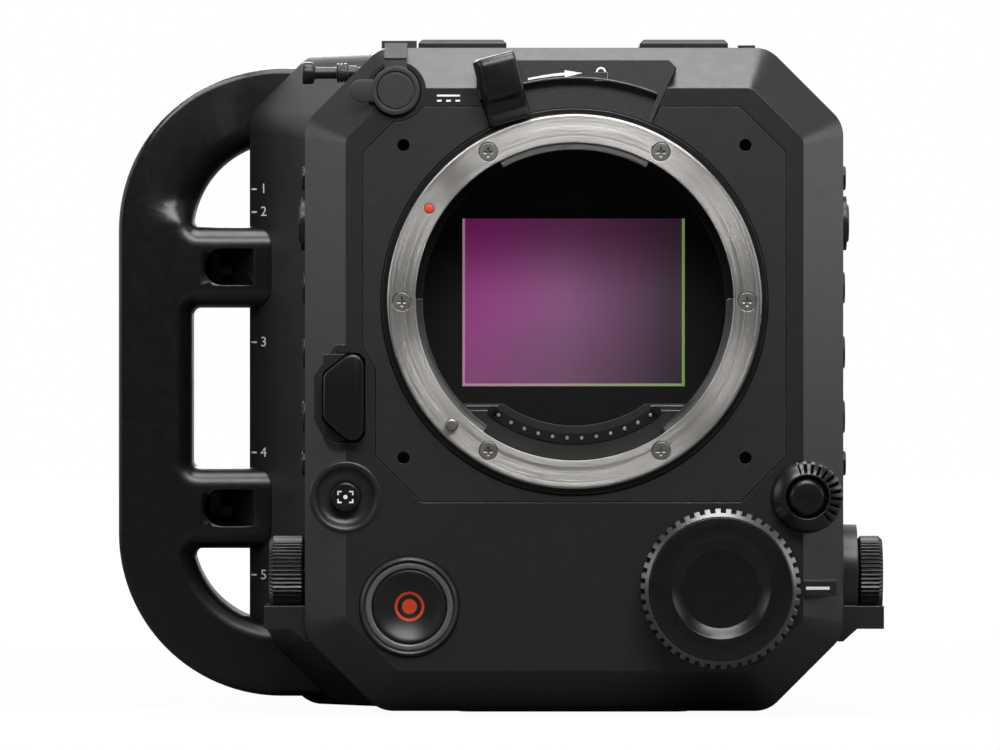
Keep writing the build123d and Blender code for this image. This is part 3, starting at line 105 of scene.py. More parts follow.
class Finish:
    def __init__(self, name, shader="ShaderNodeBsdfPrincipled"):
        self.material = bpy.data.materials.new(name)
        self.material.use_nodes = True
        self.tree = self.material.node_tree
        self.tree.nodes.clear()
        self.out = self.tree.nodes.new("ShaderNodeOutputMaterial")
        self.shader = self.tree.nodes.new(shader)
        self.tree.links.new(self.shader.outputs[0], self.out.inputs["Surface"])

    def add(self, kind, settings, inputs, output=0):
        node = self.tree.nodes.new(kind)
        for name, value in settings.items():
            if name == "stops":
                ramp = node.color_ramp.elements
                while len(ramp) < len(value):
                    ramp.new(0.5)
                for stop, (place, colour) in zip(ramp, value):
                    stop.position = place
                    stop.color = colour
            else:
                setattr(node, name, value)
        for name, value in inputs.items():
            self.plug(node.inputs[name], value)
        return Wire(self, node.outputs[output])

    def plug(self, socket, value):
        if isinstance(value, Wire):
            self.tree.links.new(value.socket, socket)
        else:
            socket.default_value = value

    def feed(self, **values):
        for name, value in values.items():
            self.plug(self.shader.inputs[name.replace("_", " ")], value)

    def spot(self):
        return self.add("ShaderNodeTexCoord", {}, {}, "Object")

    def noise(self, spot, size, detail=2.0, roughness=0.55):
        # size is the width of one blotch in millimetres
        inputs = {"Vector": spot, "Scale": 1 / (size * mm), "Detail": detail, "Roughness": roughness}
        return self.add("ShaderNodeTexNoise", {}, inputs)

    def lines(self, along, size, detail=2.0):
        # noise that changes in one direction only, such as turned lines
        inputs = {"W": along, "Scale": 1 / (size * mm), "Detail": detail}
        return self.add("ShaderNodeTexNoise", {"noise_dimensions": "1D"}, inputs)

    def mix(self, share, first, second):
        settings = {"data_type": "RGBA"}
        return self.add("ShaderNodeMix", settings, {0: share, 6: first, 7: second}, 2)

    def shade(self, colour, strength):
        colour = colour if isinstance(colour, Wire) else colour[:3]
        return self.add("ShaderNodeVectorMath", {"operation": "SCALE"}, {0: colour, "Scale": strength})

    def flat(self):
        return self.add("ShaderNodeNewGeometry", {}, {}, "Normal")

    def rounded(self, radius):
        return self.add("ShaderNodeBevel", {"samples": 4}, {"Radius": radius * mm})

    def dot(self, first, second):
        settings = {"operation": "DOT_PRODUCT"}
        return self.add("ShaderNodeVectorMath", settings, {0: first, 1: second}, "Value")

    def bump(self, height, depth, normal=None):
        inputs = {"Height": height, "Strength": 1.0, "Distance": depth * mm}
        if normal:
            inputs["Normal"] = normal
        return self.add("ShaderNodeBump", {}, inputs)


def tone(red, green=None, blue=None, alpha=1.0):
    # a colour as a picture shows it, 0 to 255, made linear
    values = [red, red if green is None else green, red if blue is None else blue]
    linear = [((v / 255 + 0.055) / 1.055) ** 2.4 if v > 10 else v / 255 / 12.92 for v in values]
    return (*linear, alpha)


def surface(name, look):
    # paint, moulding or metal with broad mottling, a fine grain, and edges lighter in colour: partly wear,
    # partly a painted highlight along every edge
    finish = Finish(name)
    spot = finish.spot()
    cloud = finish.noise(spot, look.get("cloud", 18.0), 3.0)
    grain = finish.noise(spot, look.get("grain", 0.35), 2.0)
    scuff = finish.noise(spot, look.get("scuff", 2.5), 5.0, 0.7)
    rounded = finish.rounded(look.get("round", 0.25))
    # the lighter edge colour, broken up by noise, is partly wear and partly a painted highlight
    edge = ((1 - finish.dot(rounded, finish.flat())) * look.get("edgeGain", 6.0)).held()
    wearAndHighlight = (edge * (scuff * 1.6 - 0.2)).held()
    strength = 1 + (cloud - 0.5) * look.get("mottle", 0.3) + (grain - 0.5) * look.get("speckle", 0.5)
    painted = finish.shade(look["colour"], strength)
    finish.feed(
        Base_Color=finish.mix(wearAndHighlight, painted, look["edge"]),
        Roughness=look["rough"] + (scuff - 0.5) * look.get("roughSpread", 0.18) - wearAndHighlight * 0.1,
        Metallic=look.get("metal", 0.0),
        Normal=finish.bump(grain, look.get("bump", 0.02), rounded),
    )
    finish.shader.inputs["Specular IOR Level"].default_value = look.get("gloss", 0.5)
    return finish.material


def turnedSurface(name, look, centre):
    # metal turned on a lathe: fine lines round the lens axis
    finish = Finish(name)
    spot = finish.spot()
    across = spot.axis("X") - centre[0] * mm
    up = spot.axis("Z") - centre[1] * mm
    radius = (across * across + up * up) ** 0.5
    lines = finish.lines(radius, look["line"], 3.0)
    broad = finish.lines(radius, look["broad"], 2.0)
    cloud = finish.noise(spot, 14.0, 3.0)
    rounded = finish.rounded(0.2)
    strength = 1 + (broad - 0.5) * look["banding"] + (cloud - 0.5) * 0.12
    bright = radius.over(look["innerRadius"] * mm, 0.05 * mm)
    finish.feed(
        Base_Color=finish.shade(finish.mix(bright, look["inner"], look["colour"]), strength),
        Roughness=look["rough"] + (lines - 0.5) * 0.12,
        Metallic=look["metal"],
        Normal=finish.bump(lines, look["cut"], rounded),
    )
    return finish.material


def sensorSurface(name, look):
    # a sensor's coated face: three rows of the coating's colour with painted reflection in them, lighter at
    # the left and glowing though the face is no lamp, and a painted highlight along the edges of its cover
    finish = Finish(name)
    spot = finish.spot()
    across = (spot.axis("X") * (1 / (look["width"] * mm)) + 0.5).held()
    up = (spot.axis("Z") - look["middle"] * mm) * (1 / (look["height"] * mm)) + 0.5
    rows = []
    for colours in look["rows"]:
        stops = list(zip((0.03, 0.45, 0.95), colours))
        rows.append(finish.add("ShaderNodeValToRGB", {"stops": stops}, {0: across}))
    lit = finish.mix(up.over(0.28, 0.3), rows[0], rows[1])
    lit = finish.mix(up.over(0.76, 0.26), lit, rows[2])
    side = spot.axis("X").apart().over(look["width"] / 2 * mm, 0.08 * mm)
    base = (look["middle"] * mm - spot.axis("Z")).over(look["height"] / 2 * mm, 0.08 * mm)
    # painted highlight along the sides and the bottom edge of the cover
    coverHighlight = finish.mix(across, look["coverHighlightLeft"], look["coverHighlightRight"])
    lit = finish.mix((side + base).held(), lit, coverHighlight)
    grid = finish.noise(spot, 0.25, 1.0)
    finish.feed(
        Base_Color=finish.shade(lit, 0.97 + grid * 0.06),
        Roughness=0.3 + (grid - 0.5) * 0.1,
        Metallic=0.0,
        Emission_Color=lit,
    )
    # painted light: the face glows with its painted reflection
    finish.shader.inputs["Emission Strength"].default_value = look["glow"]
    return finish.material


def glassSurface(name, look):
    # coated glass that lets nearly all light by and keeps a faint tint and gloss
    finish = Finish(name)
    spot = finish.spot()
    smear = finish.noise(spot, 9.0, 4.0, 0.6)
    finish.feed(
        Base_Color=finish.shade(look["colour"], 0.9 + smear * 0.2),
        Roughness=0.04 + smear * 0.05,
        Alpha=look["body"] + (smear - 0.5) * 0.02,
    )
    return finish.material


def displaySurface(name, look):
    # a display that is off: dark glass over a slightly lighter panel
    finish = Finish(name)
    spot = finish.spot()
    smear = finish.noise(spot, 12.0, 4.0, 0.6)
    rounded = finish.rounded(0.3)
    finish.feed(
        Base_Color=finish.shade(look["colour"], 0.8 + smear * 0.4),
        Roughness=0.06 + smear * 0.06,
        Normal=rounded,
    )
    finish.shader.inputs["Coat Weight"].default_value = 0.6
    finish.shader.inputs["Coat Roughness"].default_value = 0.03
    return finish.material


def boardSurface(name, look):
    # a circuit board: lacquer with tracks of two widths under it
    finish = Finish(name)
    spot = finish.spot()
    tracks = finish.add("ShaderNodeTexBrick", {}, {"Vector": spot, "Scale": 160.0, "Mortar Size": 0.06}, 1)
    cloud = finish.noise(spot, 8.0, 4.0)
    finish.feed(
        Base_Color=finish.mix(tracks * 0.7, finish.shade(look["colour"], 0.8 + cloud * 0.4), look["track"]),
        Roughness=0.35 + (cloud - 0.5) * 0.2,
        Normal=finish.bump(tracks, 0.03),
    )
    return finish.material


lensMiddle = (0.0, 84.9)        # X and Z of the lens axis, in millimetres
finishLooks = {
    "body_paint": {
        "colour": tone(33, 33, 34), "edge": tone(80, 80, 82), "rough": 0.36, "gloss": 0.5, "grain": 0.3,
        "speckle": 0.55, "mottle": 0.25, "bump": 0.012, "round": 0.3, "edgeGain": 3.0,
    },
    "front_plate_paint": {
        "colour": tone(33, 33, 34), "edge": tone(62, 62, 64), "rough": 0.5, "gloss": 0.4, "grain": 0.42,
        "speckle": 1.1, "mottle": 0.2, "bump": 0.03, "round": 0.2,
    },
    "lock_plate_paint": {
        "colour": tone(53), "edge": tone(84, 84, 86), "rough": 0.46, "gloss": 0.4, "grain": 0.42,
        "speckle": 1.0, "mottle": 0.2, "bump": 0.03, "round": 0.2,
    },
    "screw_steel": {
        "colour": tone(150, 148, 145), "edge": tone(215), "rough": 0.42, "metal": 1.0, "grain": 0.2,
        "speckle": 0.2, "bump": 0.004, "round": 0.3,
    },
    "hook_steel": {
        "colour": tone(34, 34, 35), "edge": tone(120), "rough": 0.34, "metal": 0.5, "grain": 0.2,
        "speckle": 0.3, "bump": 0.006, "round": 0.3,
    },
    "black_screws": {
        "colour": tone(30), "edge": tone(96), "rough": 0.34, "metal": 0.8, "grain": 0.25, "speckle": 0.3,
        "bump": 0.006, "round": 0.3,
    },
    "lock_black": {
        "colour": tone(11), "edge": tone(70), "rough": 0.34, "grain": 0.25, "speckle": 0.4, "bump": 0.008,
        "round": 0.35, "edgeGain": 4.0,
    },
    "light_box_black": {
        "colour": tone(17), "edge": tone(30), "rough": 0.7, "grain": 0.4, "speckle": 0.6, "bump": 0.03,
        "gloss": 0.2,
    },
    "contact_plastic": {
        "colour": tone(27), "edge": tone(60), "rough": 0.5, "grain": 0.3, "speckle": 0.5, "bump": 0.01,
        "round": 0.2,
    },
    "contact_gold": {
        "colour": tone(196, 190, 176), "edge": tone(232, 228, 216), "rough": 0.42, "metal": 1.0,
        "grain": 0.15, "speckle": 0.2, "bump": 0.002, "round": 0.15,
    },
    "button_black": {
        "colour": tone(13), "edge": tone(62), "rough": 0.34, "gloss": 0.45, "grain": 0.3, "speckle": 0.4,
        "bump": 0.008, "round": 0.35,
    },
    "rec_metal": {
        "colour": tone(66, 66, 67), "edge": tone(126), "rough": 0.36, "metal": 0.6, "grain": 0.25,
        "speckle": 0.3, "bump": 0.006, "round": 0.35,
    },
    "rec_black": {
        "colour": tone(24), "edge": tone(70), "rough": 0.38, "gloss": 0.45, "grain": 0.25, "speckle": 0.35,
        "bump": 0.006, "round": 0.3,
    },
    "dial_black": {
        "colour": tone(14), "edge": tone(80), "rough": 0.3, "gloss": 0.5, "grain": 0.3, "speckle": 0.4,
        "bump": 0.008, "round": 0.2, "edgeGain": 4.0,
    },
    "dial_button": {
        "colour": tone(13), "edge": tone(70), "rough": 0.32, "gloss": 0.45, "grain": 0.25, "speckle": 0.35,
        "bump": 0.006, "round": 0.35,
    },
    "port_metal": {
        "colour": tone(120, 119, 116), "edge": tone(190), "rough": 0.3, "metal": 1.0, "grain": 0.2,
        "speckle": 0.2, "bump": 0.004, "round": 0.25,
    },
    "cap_rubber": {
        "colour": tone(48), "edge": tone(76), "rough": 0.6, "gloss": 0.3, "grain": 0.3, "speckle": 0.5,
        "bump": 0.012, "round": 0.3,
    },
    "handle_black": {
        "colour": tone(11, 11, 12), "edge": tone(52), "rough": 0.32, "grain": 0.3, "speckle": 0.4,
        "mottle": 0.2, "bump": 0.008, "round": 0.4, "edgeGain": 2.5,
    },
    "pad_metal": {
        "colour": tone(26), "edge": tone(72), "rough": 0.42, "metal": 0.3, "grain": 0.3, "speckle": 0.4,
        "bump": 0.01, "round": 0.3,
    },
    "frame_metal": {
        "colour": tone(150, 151, 153), "edge": tone(200), "rough": 0.42, "metal": 1.0, "grain": 0.5,
        "speckle": 0.3, "bump": 0.01, "round": 0.3,
    },
    "fan_plastic": {
        "colour": tone(24), "edge": tone(50), "rough": 0.5, "grain": 0.4, "speckle": 0.4, "bump": 0.01,
    },
    "battery_plastic": {
        "colour": tone(40, 40, 43), "edge": tone(70), "rough": 0.55, "grain": 0.5, "speckle": 0.5,
        "bump": 0.02,
    },
    "door_plastic": {
        "colour": tone(26), "edge": tone(60), "rough": 0.55, "grain": 0.45, "speckle": 0.7, "bump": 0.025,
        "round": 0.25,
    },
    "port_plastic": {
        "colour": tone(38), "edge": tone(90), "rough": 0.45, "grain": 0.3, "speckle": 0.4, "bump": 0.01,
        "round": 0.2,
    },
}
finishes = {slot: surface(slot, look) for slot, look in finishLooks.items()}
finishes["mount_steel"] = turnedSurface(
    "mount_steel",
    {"colour": tone(206, 203, 199), "rough": 0.3, "metal": 1.0, "line": 0.03, "broad": 0.9,
     "banding": 0.1, "cut": 0.046, "inner": tone(118), "innerRadius": 32.4},
    lensMiddle,
)
# the sensor's rows carry painted reflection and glow; the cover's edges carry a painted highlight
finishes["sensor_face"] = sensorSurface("sensor_face", {
    "width": 44.9, "height": 33.5, "middle": lensMiddle[1], "glow": 1.05,
    "rows": [
        (tone(118, 64, 105), tone(98, 70, 93), tone(47, 40, 47)),
        (tone(136, 58, 118), tone(120, 77, 112), tone(62, 50, 61)),
        (tone(99, 24, 82), tone(85, 38, 73), tone(50, 28, 44)),
    ],
    "coverHighlightLeft": tone(166, 122, 148), "coverHighlightRight": tone(122, 146, 92),
})
finishes["filter_glass"] = glassSurface("filter_glass", {"colour": tone(60, 40, 62), "body": 0.08})
finishes["cover_glass"] = glassSurface("cover_glass", {"colour": tone(70, 44, 70), "body": 0.08})
finishes["display_glass"] = displaySurface("display_glass", {"colour": tone(12, 13, 15)})
finishes["board_green"] = boardSurface("board_green", {
    "colour": tone(24, 74, 50), "track": tone(60, 122, 84),
})
markWhite = surface("mark_white", {
    "colour": tone(240), "edge": tone(245), "rough": 0.55, "grain": 0.2, "speckle": 0.12, "mottle": 0.08,
    "bump": 0.002, "round": 0.02, "gloss": 0.3,
})
markRed = surface("mark_red", {
    "colour": tone(205, 66, 38), "edge": tone(225, 92, 60), "rough": 0.5, "grain": 0.2, "speckle": 0.2,
    "mottle": 0.1, "bump": 0.002, "round": 0.02, "gloss": 0.4,
})
greyRing = surface("grey_ring", {
    "colour": tone(104), "edge": tone(150), "rough": 0.42, "metal": 0.3, "grain": 0.25, "speckle": 0.25,
    "bump": 0.005, "round": 0.2,
})
dialRim = surface("dial_rim", {
    "colour": tone(108), "edge": tone(140), "rough": 0.38, "metal": 1.0, "grain": 0.3, "speckle": 0.3,
    "bump": 0.006, "round": 0.12,
})
for node in nodes.values():
    for place in node.material_slots:
        place.material = finishes[place.material.name.split(".")[0]]
print("finishes on", len(nodes), "nodes")


# Modelling helpers. Shapes are drawn in millimetres.
def turned(bm, profile, steps=96):
    # a profile of (radius, height) points spun round Z
    chain = [bm.verts.new((radius, 0.0, height)) for radius, height in profile]
    edges = [bm.edges.new(pair) for pair in zip(chain, chain[1:])]
    bmesh.ops.spin(
        bm, geom=chain + edges, cent=(0, 0, 0), axis=(0, 0, 1), angle=2 * math.pi, steps=steps,
        use_merge=True,
    )
    bmesh.ops.remove_doubles(bm, verts=bm.verts, dist=1e-4)


def vertsIn(parts):
    return [part for part in parts if isinstance(part, bmesh.types.BMVert)]


def pulled(bm, faces, move):
    # extrudes faces, moves their far end and returns what was made
    made = bmesh.ops.extrude_face_region(bm, geom=faces)["geom"]
    bmesh.ops.translate(bm, verts=vertsIn(made), vec=move)
    return made


def raised(bm, faces, rise, factor=1.0):
    # pulls faces out along Z and scales their end
    made = pulled(bm, faces, (0, 0, rise))
    bmesh.ops.delete(bm, geom=[face for face in faces if face.is_valid], context="FACES_ONLY")
    bmesh.ops.scale(bm, verts=vertsIn(made), vec=(factor, factor, 1.0))
    return [part for part in made if isinstance(part, bmesh.types.BMFace)]


def finishPiece(bm, name, body, slot, middle=(0, 0, 0), stands=(), smooth=35, facing="front", finish=None):
    # turns a drawing into a piece that rides on a body; middle is its place in millimetres
    place = Matrix.Translation(Vector(middle) * mm) @ outOf[facing] @ Matrix.Scale(mm, 4)
    bmesh.ops.transform(bm, matrix=place, verts=bm.verts)
    bmesh.ops.recalc_face_normals(bm, faces=bm.faces)
    mesh = bpy.data.meshes.new(name)
    bm.to_mesh(mesh)
    bm.free()
    mesh.materials.append(finish or finishes[slot])
    mesh.shade_smooth()
    mesh.set_sharp_from_angle(angle=math.radians(smooth))
    piece = bpy.data.objects.new(name, mesh)
    scene.collection.objects.link(piece)
    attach(piece, body)
    if stands:
        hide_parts(*stands)
    return piece


def middleOf(node):
    low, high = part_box(node)
    return (low + high) / 2 / mm


def endOf(node):
    return [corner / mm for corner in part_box(node)]


def frontOf(node):
    # the middle of a node's front end
    middle = middleOf(node)
    middle.y = endOf(node)[0].y
    return middle


def block(bm, size, middle=(0, 0, 0)):
    made = bmesh.ops.create_cube(bm, size=1.0)["verts"]
    bmesh.ops.scale(bm, verts=made, vec=size)
    bmesh.ops.translate(bm, verts=made, vec=middle)


def shaft(bm, radius, length, top, segments):
    # a round bar that ends at a height
    made = bmesh.ops.create_cone(
        bm, cap_ends=True, segments=segments, radius1=radius, radius2=radius, depth=length,
    )["verts"]
    bmesh.ops.translate(bm, verts=made, vec=(0, 0, top - length / 2))


def softened(bm, parts, offset, segments, affect="EDGES", clamp=False):
    # bevels edges or corners
    bmesh.ops.bevel(
        bm, geom=parts, offset=offset, segments=segments, affect=affect, profile=0.5, material=-1,
        clamp_overlap=clamp,
    )


def softShare(value, low, high):
    # 0 below low, 1 above high, with a soft step between
    share = min(max((value / mm - low) / (high - low), 0.0), 1.0)
    return share * share * (3 - 2 * share)


def glassPlate(name, node, slot, gap=0.03):
    # a plate a hair smaller than its seat, with ground edges
    low, high = endOf(node)
    bm = bmesh.new()
    block(bm, [high[axis] - low[axis] - 2 * gap for axis in (0, 2, 1)])
    softened(bm, bm.edges[:], 0.15, 1)
    finishPiece(bm, name, "camera", slot, middleOf(node), [node])


# Knurled wheels on both sides
wheelLook = {
    "radius": 7.95, "teeth": 56, "toothDepth": 0.05, "chamfer": 0.8, "dish": 0.5, "shaft": 2.5,
    "footShare": 0.93, "footRise": 0.48, "topShare": 0.9, "rimShare": 0.82, "dishShare": 0.94,
}


def sideWheel(name, facing, thickness, shaftLength):
    bm = bmesh.new()
    rim = bmesh.ops.create_circle(
        bm, cap_ends=True, segments=2 * wheelLook["teeth"], radius=wheelLook["radius"],
    )["verts"]
    bmesh.ops.scale(bm, verts=rim[1::2], vec=(1 - wheelLook["toothDepth"],) * 2 + (1.0,))
    chamfer, foot = wheelLook["chamfer"], wheelLook["footShare"]
    bmesh.ops.scale(bm, verts=bm.verts, vec=(foot, foot, 1.0))
    top = raised(bm, bm.faces[:], wheelLook["footRise"], 1 / foot)
    top = raised(bm, top, thickness - chamfer - wheelLook["footRise"])
    top = raised(bm, top, chamfer, wheelLook["topShare"])
    top = raised(bm, top, 0.0, wheelLook["rimShare"])
    raised(bm, top, -wheelLook["dish"], wheelLook["dishShare"])
    shaft(bm, wheelLook["shaft"], shaftLength, 0.2, 32)
    low, high = endOf(name)
    middle = middleOf(name)
    middle.x = high.x - thickness if facing == "right" else low.x + thickness
    finishPiece(bm, name + "_knurled", name, "dial_black", middle, [name], 22, facing)


sideWheel("right_side_wheel", "right", 5.0, 8.6)
sideWheel("left_side_wheel", "left", 7.2, 5.6)

# Record button: a dished cap in a grey ring, inside a bevelled bezel
recLook = {"radius": 7.55, "dish": 7.0, "deep": 2.2, "stem": 5.55}
bm = bmesh.new()
shares = [step / 10 for step in range(11)]
hollow = [(recLook["dish"] * share, recLook["deep"] * (share ** 2 - 1)) for share in shares]
turned(bm, hollow + [
    (7.25, 0.0), (7.45, -0.1), (recLook["radius"], -0.4), (recLook["radius"], -1.7),
    (recLook["stem"], -1.8), (recLook["stem"], -9.4), (0.0, -9.4),
])
middle = frontOf("rec_button")
recCap = finishPiece(bm, "rec_cap", "rec_button", "rec_black", middle, ["rec_button"], 50)
bm = bmesh.new()
turned(bm, [
    (10.2, -3.9), (10.2, -0.85), (10.15, -0.7), (9.75, -0.12), (9.6, 0.0), (9.45, -0.02), (9.3, -0.16),
    (9.1, -0.62), (8.95, -0.8), (8.95, -3.9), (10.2, -3.9),
])
middle.y = endOf("rec_bezel")[0].y
finishPiece(bm, "rec_bezel_ring", "camera", "rec_metal", middle, ["rec_bezel"], 40)
bm = bmesh.new()
turned(bm, [
    (9.0, -3.6), (9.0, -0.72), (8.85, -0.55), (8.6, -0.5), (8.15, -0.5), (7.9, -0.56), (7.72, -0.8),
    (7.68, -1.2), (7.68, -3.6), (9.0, -3.6),
])
finishPiece(bm, "rec_inner_ring", "camera", "rec_metal", middle, smooth=40, finish=greyRing)

# Filter dial: a toothed wheel whose bevel faces up at its top, and a dished disc in its middle
dialLook = {
    "tip": 16.3, "root": 15.35, "teeth": 46, "back": 8.6, "rim": 5.75, "disc": 14.75, "recess": 1.05,
    "dish": 10.2, "deep": 1.9,
}
middle = frontOf("filter_dial")
bm = bmesh.new()
rim = bmesh.ops.create_circle(
    bm, cap_ends=True, segments=6 * dialLook["teeth"], radius=dialLook["tip"],
)["verts"]
rootShare = dialLook["root"] / dialLook["tip"]
bmesh.ops.scale(bm, verts=rim[4::6] + rim[5::6], vec=(rootShare, rootShare, 1.0))
bmesh.ops.translate(bm, verts=bm.verts, vec=(0, 0, -dialLook["back"]))
top = raised(bm, bm.faces[:], dialLook["rim"])
bevel = ((0.8, dialLook["root"] + 0.1), (0.65, dialLook["disc"]), (0.0, dialLook["disc"] - 0.1))
for rise, radius in bevel:
    top = raised(bm, top, rise)
    for vert in {vert for face in top for vert in face.verts}:
        vert.co.xy = vert.co.xy.normalized() * radius
raised(bm, top, -dialLook["recess"])        # the disc sits in this recess
shaft(bm, 3.0, 10.0, 0.2 - dialLook["back"], 40)
finishPiece(
    bm, "filter_dial_teeth", "filter_dial", "dial_black", middle, ["filter_dial"], 28, finish=dialRim,
)
bm = bmesh.new()
dish, deep = dialLook["dish"], dialLook["deep"]
turned(bm, [
    (0.0, -deep), (7.75, -deep), (7.95, -deep), (8.1, -deep + 0.05), (dish - 0.25, -0.16),
    (dish - 0.1, -0.05), (dish + 0.1, 0.0),
    (14.3, 0.0), (14.5, -0.06), (14.6, -0.25), (14.6, -2.4), (0.0, -2.4),
], 128)
finishPiece(bm, "filter_dial_disc", "filter_dial", "dial_black", middle, ["filter_dial"], 28)

# Small dial: a cone, notched over its top and right side, round a bevelled button
smallLook = {
    "radius": 7.35, "inner": 4.35, "steps": 104, "firstNotch": -56.0, "lastNotch": 108.0, "notchDepth": 3.4,
}
middle = frontOf("small_dial")
bm = bmesh.new()
inner, outer = smallLook["inner"], smallLook["radius"]
turned(bm, [
    (inner, -3.6), (inner, -0.25), (4.45, -0.05), (4.6, 0.0), (4.8, -0.05), (6.6, -1.45), (7.1, -2.0),
    (outer, -2.6), (outer, -3.7), (6.9, -3.8), (2.0, -3.8), (2.0, -13.3), (1.6, -13.3), (1.6, -3.6),
    (inner, -3.6),
], smallLook["steps"])
notches = {}
for face in bm.faces:
    spot = face.calc_center_median()
    turn = math.degrees(math.atan2(spot.y, spot.x))
    sector = int((turn + 180) / 360 * smallLook["steps"] + 1e-6)
    onCone = 4.8 < spot.xy.length and -3.7 < spot.z < -0.1
    if onCone and smallLook["firstNotch"] < turn < smallLook["lastNotch"] and sector // 2 % 2:
        notches.setdefault(sector // 4, []).append(face)
for faces in notches.values():
    made = bmesh.ops.extrude_face_region(bm, geom=faces)["geom"]
    bmesh.ops.delete(bm, geom=faces, context="FACES_ONLY")
    for vert in vertsIn(made):
        vert.co.z = -smallLook["notchDepth"]
        if vert.co.xy.length > 6.9:
            vert.co.xy *= 0.92
finishPiece(bm, "small_dial_cone", "small_dial", "dial_black", middle, ["small_dial"], 30)
bm = bmesh.new()
turned(bm, [
    (0.0, 0.0), (2.85, 0.0), (3.0, -0.06), (3.75, -0.8), (3.95, -1.1), (4.0, -1.4), (4.0, -3.2),
    (1.5, -3.3), (1.5, -14.4), (0.0, -14.4),
], 64)
middle.y = endOf("small_dial_button")[0].y
finishPiece(bm, "small_dial_cap", "small_dial_button", "dial_button", middle, ["small_dial_button"], 30)

# Handle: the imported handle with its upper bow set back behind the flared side
handleLook = {"left": -90.0, "right": -68.5, "low": 101.2, "high": 107.5, "back": 8.0, "cuts": 10}
bm = bmesh.new()
bm.from_mesh(nodes["handle"].data)
bmesh.ops.transform(bm, matrix=nodes["handle"].matrix_world, verts=bm.verts)
bmesh.ops.remove_doubles(bm, verts=bm.verts, dist=1e-7)
for cut in range(handleLook["cuts"]):
    step = cut / (handleLook["cuts"] - 1)
    level = handleLook["low"] + step * (handleLook["high"] - handleLook["low"])
    place = handleLook["left"] + step * (handleLook["right"] - handleLook["left"])
    for spot, across in (((0, 0, level * mm), (0, 0, 1)), ((place * mm, 0, 0), (1, 0, 0))):
        bmesh.ops.bisect_plane(
            bm, geom=bm.verts[:] + bm.edges[:] + bm.faces[:], dist=1e-7, plane_co=spot, plane_no=across,
        )
for vert in bm.verts:
    toBody = softShare(vert.co.x, handleLook["left"], handleLook["right"])
    toTop = softShare(vert.co.z, handleLook["low"], handleLook["high"])
    vert.co.y += handleLook["back"] * mm * toBody * toTop
bmesh.ops.transform(bm, matrix=outOf["front"].inverted() @ Matrix.Scale(1 / mm, 4), verts=bm.verts)
finishPiece(bm, "handle_bow", "camera", "handle_black", stands=["handle"], smooth=25)

# Cap of the direct-current outlet, with its pull tab and the lug of its strap
capLook = {
    "x": -36.5, "z": 127.9, "radius": 5.0, "tabReach": 9.4, "tabHeight": 4.6, "tabThick": 0.9,
    "lugSize": (4.6, 6.6, 1.0), "lugMiddle": (0, 3.3, -0.02),
}
bm = bmesh.new()
half = capLook["tabHeight"] / 2
tab = bmesh.ops.create_circle(bm, cap_ends=True, segments=40, radius=half)["verts"]
bmesh.ops.translate(
    bm, verts=[vert for vert in tab if vert.co.x < 0], vec=(half - capLook["tabReach"], 0, 0),
)
lug = bmesh.ops.create_grid(bm, x_segments=1, y_segments=1, size=0.5)["verts"]
bmesh.ops.scale(bm, verts=lug, vec=capLook["lugSize"])
bmesh.ops.translate(bm, verts=lug, vec=capLook["lugMiddle"])
pulled(bm, bm.faces[:], (0, 0, capLook["tabThick"]))
bmesh.ops.translate(bm, verts=bm.verts, vec=(0, 0, -1.2))
bmesh.ops.recalc_face_normals(bm, faces=bm.faces)
softened(bm, [edge for edge in bm.edges if edge.calc_face_angle(0) > 1.2], 0.16, 2)
turned(bm, [
    (0.0, -0.12), (3.55, -0.12), (3.7, -0.3), (3.88, -0.3), (4.02, -0.02), (4.1, 0.0), (4.6, 0.0),
    (4.88, -0.1), (capLook["radius"], -0.35), (capLook["radius"], -1.2), (4.4, -1.35), (2.4, -1.4),
    (2.4, -4.6), (0.0, -4.6),
], 72)
middle = (capLook["x"], endOf("dc_cap")[0].y, capLook["z"])
finishPiece(bm, "outlet_cap", "dc_cap", "cap_rubber", middle, ["dc_cap"], 40)

# Tape hook: a knob, a neck and a ribbed collar
bm = bmesh.new()
turned(bm, [
    (0.0, 0.0), (1.85, 0.0), (2.2, -0.12), (2.3, -0.4), (2.3, -2.0), (2.1, -2.35), (1.35, -2.6),
    (1.2, -3.0), (1.2, -7.1), (1.9, -7.2), (2.0, -7.35), (2.0, -7.7), (1.6, -7.85), (2.0, -8.0),
    (2.0, -8.4), (1.6, -8.55), (2.0, -8.7), (2.0, -9.2), (1.85, -9.4), (1.5, -9.5), (1.5, -11.3),
    (1.24, -11.4), (1.24, -16.1), (0.0, -16.1),
], 48)
middle = middleOf("tape_hook")
middle.x = endOf("tape_hook")[0].x
finishPiece(bm, "tape_knob", "camera", "hook_steel", middle, ["tape_hook"], 35, "left")

# Lock lever: a thumb piece with a dished lower end and a slanted left flank
leverLook = {
    "x": -14.96, "z": 128.2, "width": 9.0, "clear": 0.9, "lean": 14.8, "flank": 1.5, "edge": 0.75,
    "footSize": (5.6, 3.2, 3.0), "footMiddle": (0.2, -2.9, -0.1),
}
clear = leverLook["clear"]        # the underside runs this far above the track
side = [
    (-6.95, clear), (-6.95, 2.7), (-4.3, 2.3), (-2.5, 3.2), (-1.6, 5.3), (5.7, 5.4), (6.95, 4.5),
    (6.95, clear),
]
bm = bmesh.new()
half = leverLook["width"] / 2
profile = bm.faces.new([bm.verts.new((-half, along, up)) for along, up in side])
pulled(bm, [profile], (leverLook["width"], 0, 0))
for vert in bm.verts:
    if vert.co.x < 0 and vert.co.z > 1.5:
        vert.co.x += leverLook["flank"] * (vert.co.z - clear) / 4.5
bmesh.ops.recalc_face_normals(bm, faces=bm.faces)
softened(bm, bm.edges[:], leverLook["edge"], 4, clamp=True)
block(bm, leverLook["footSize"], leverLook["footMiddle"])
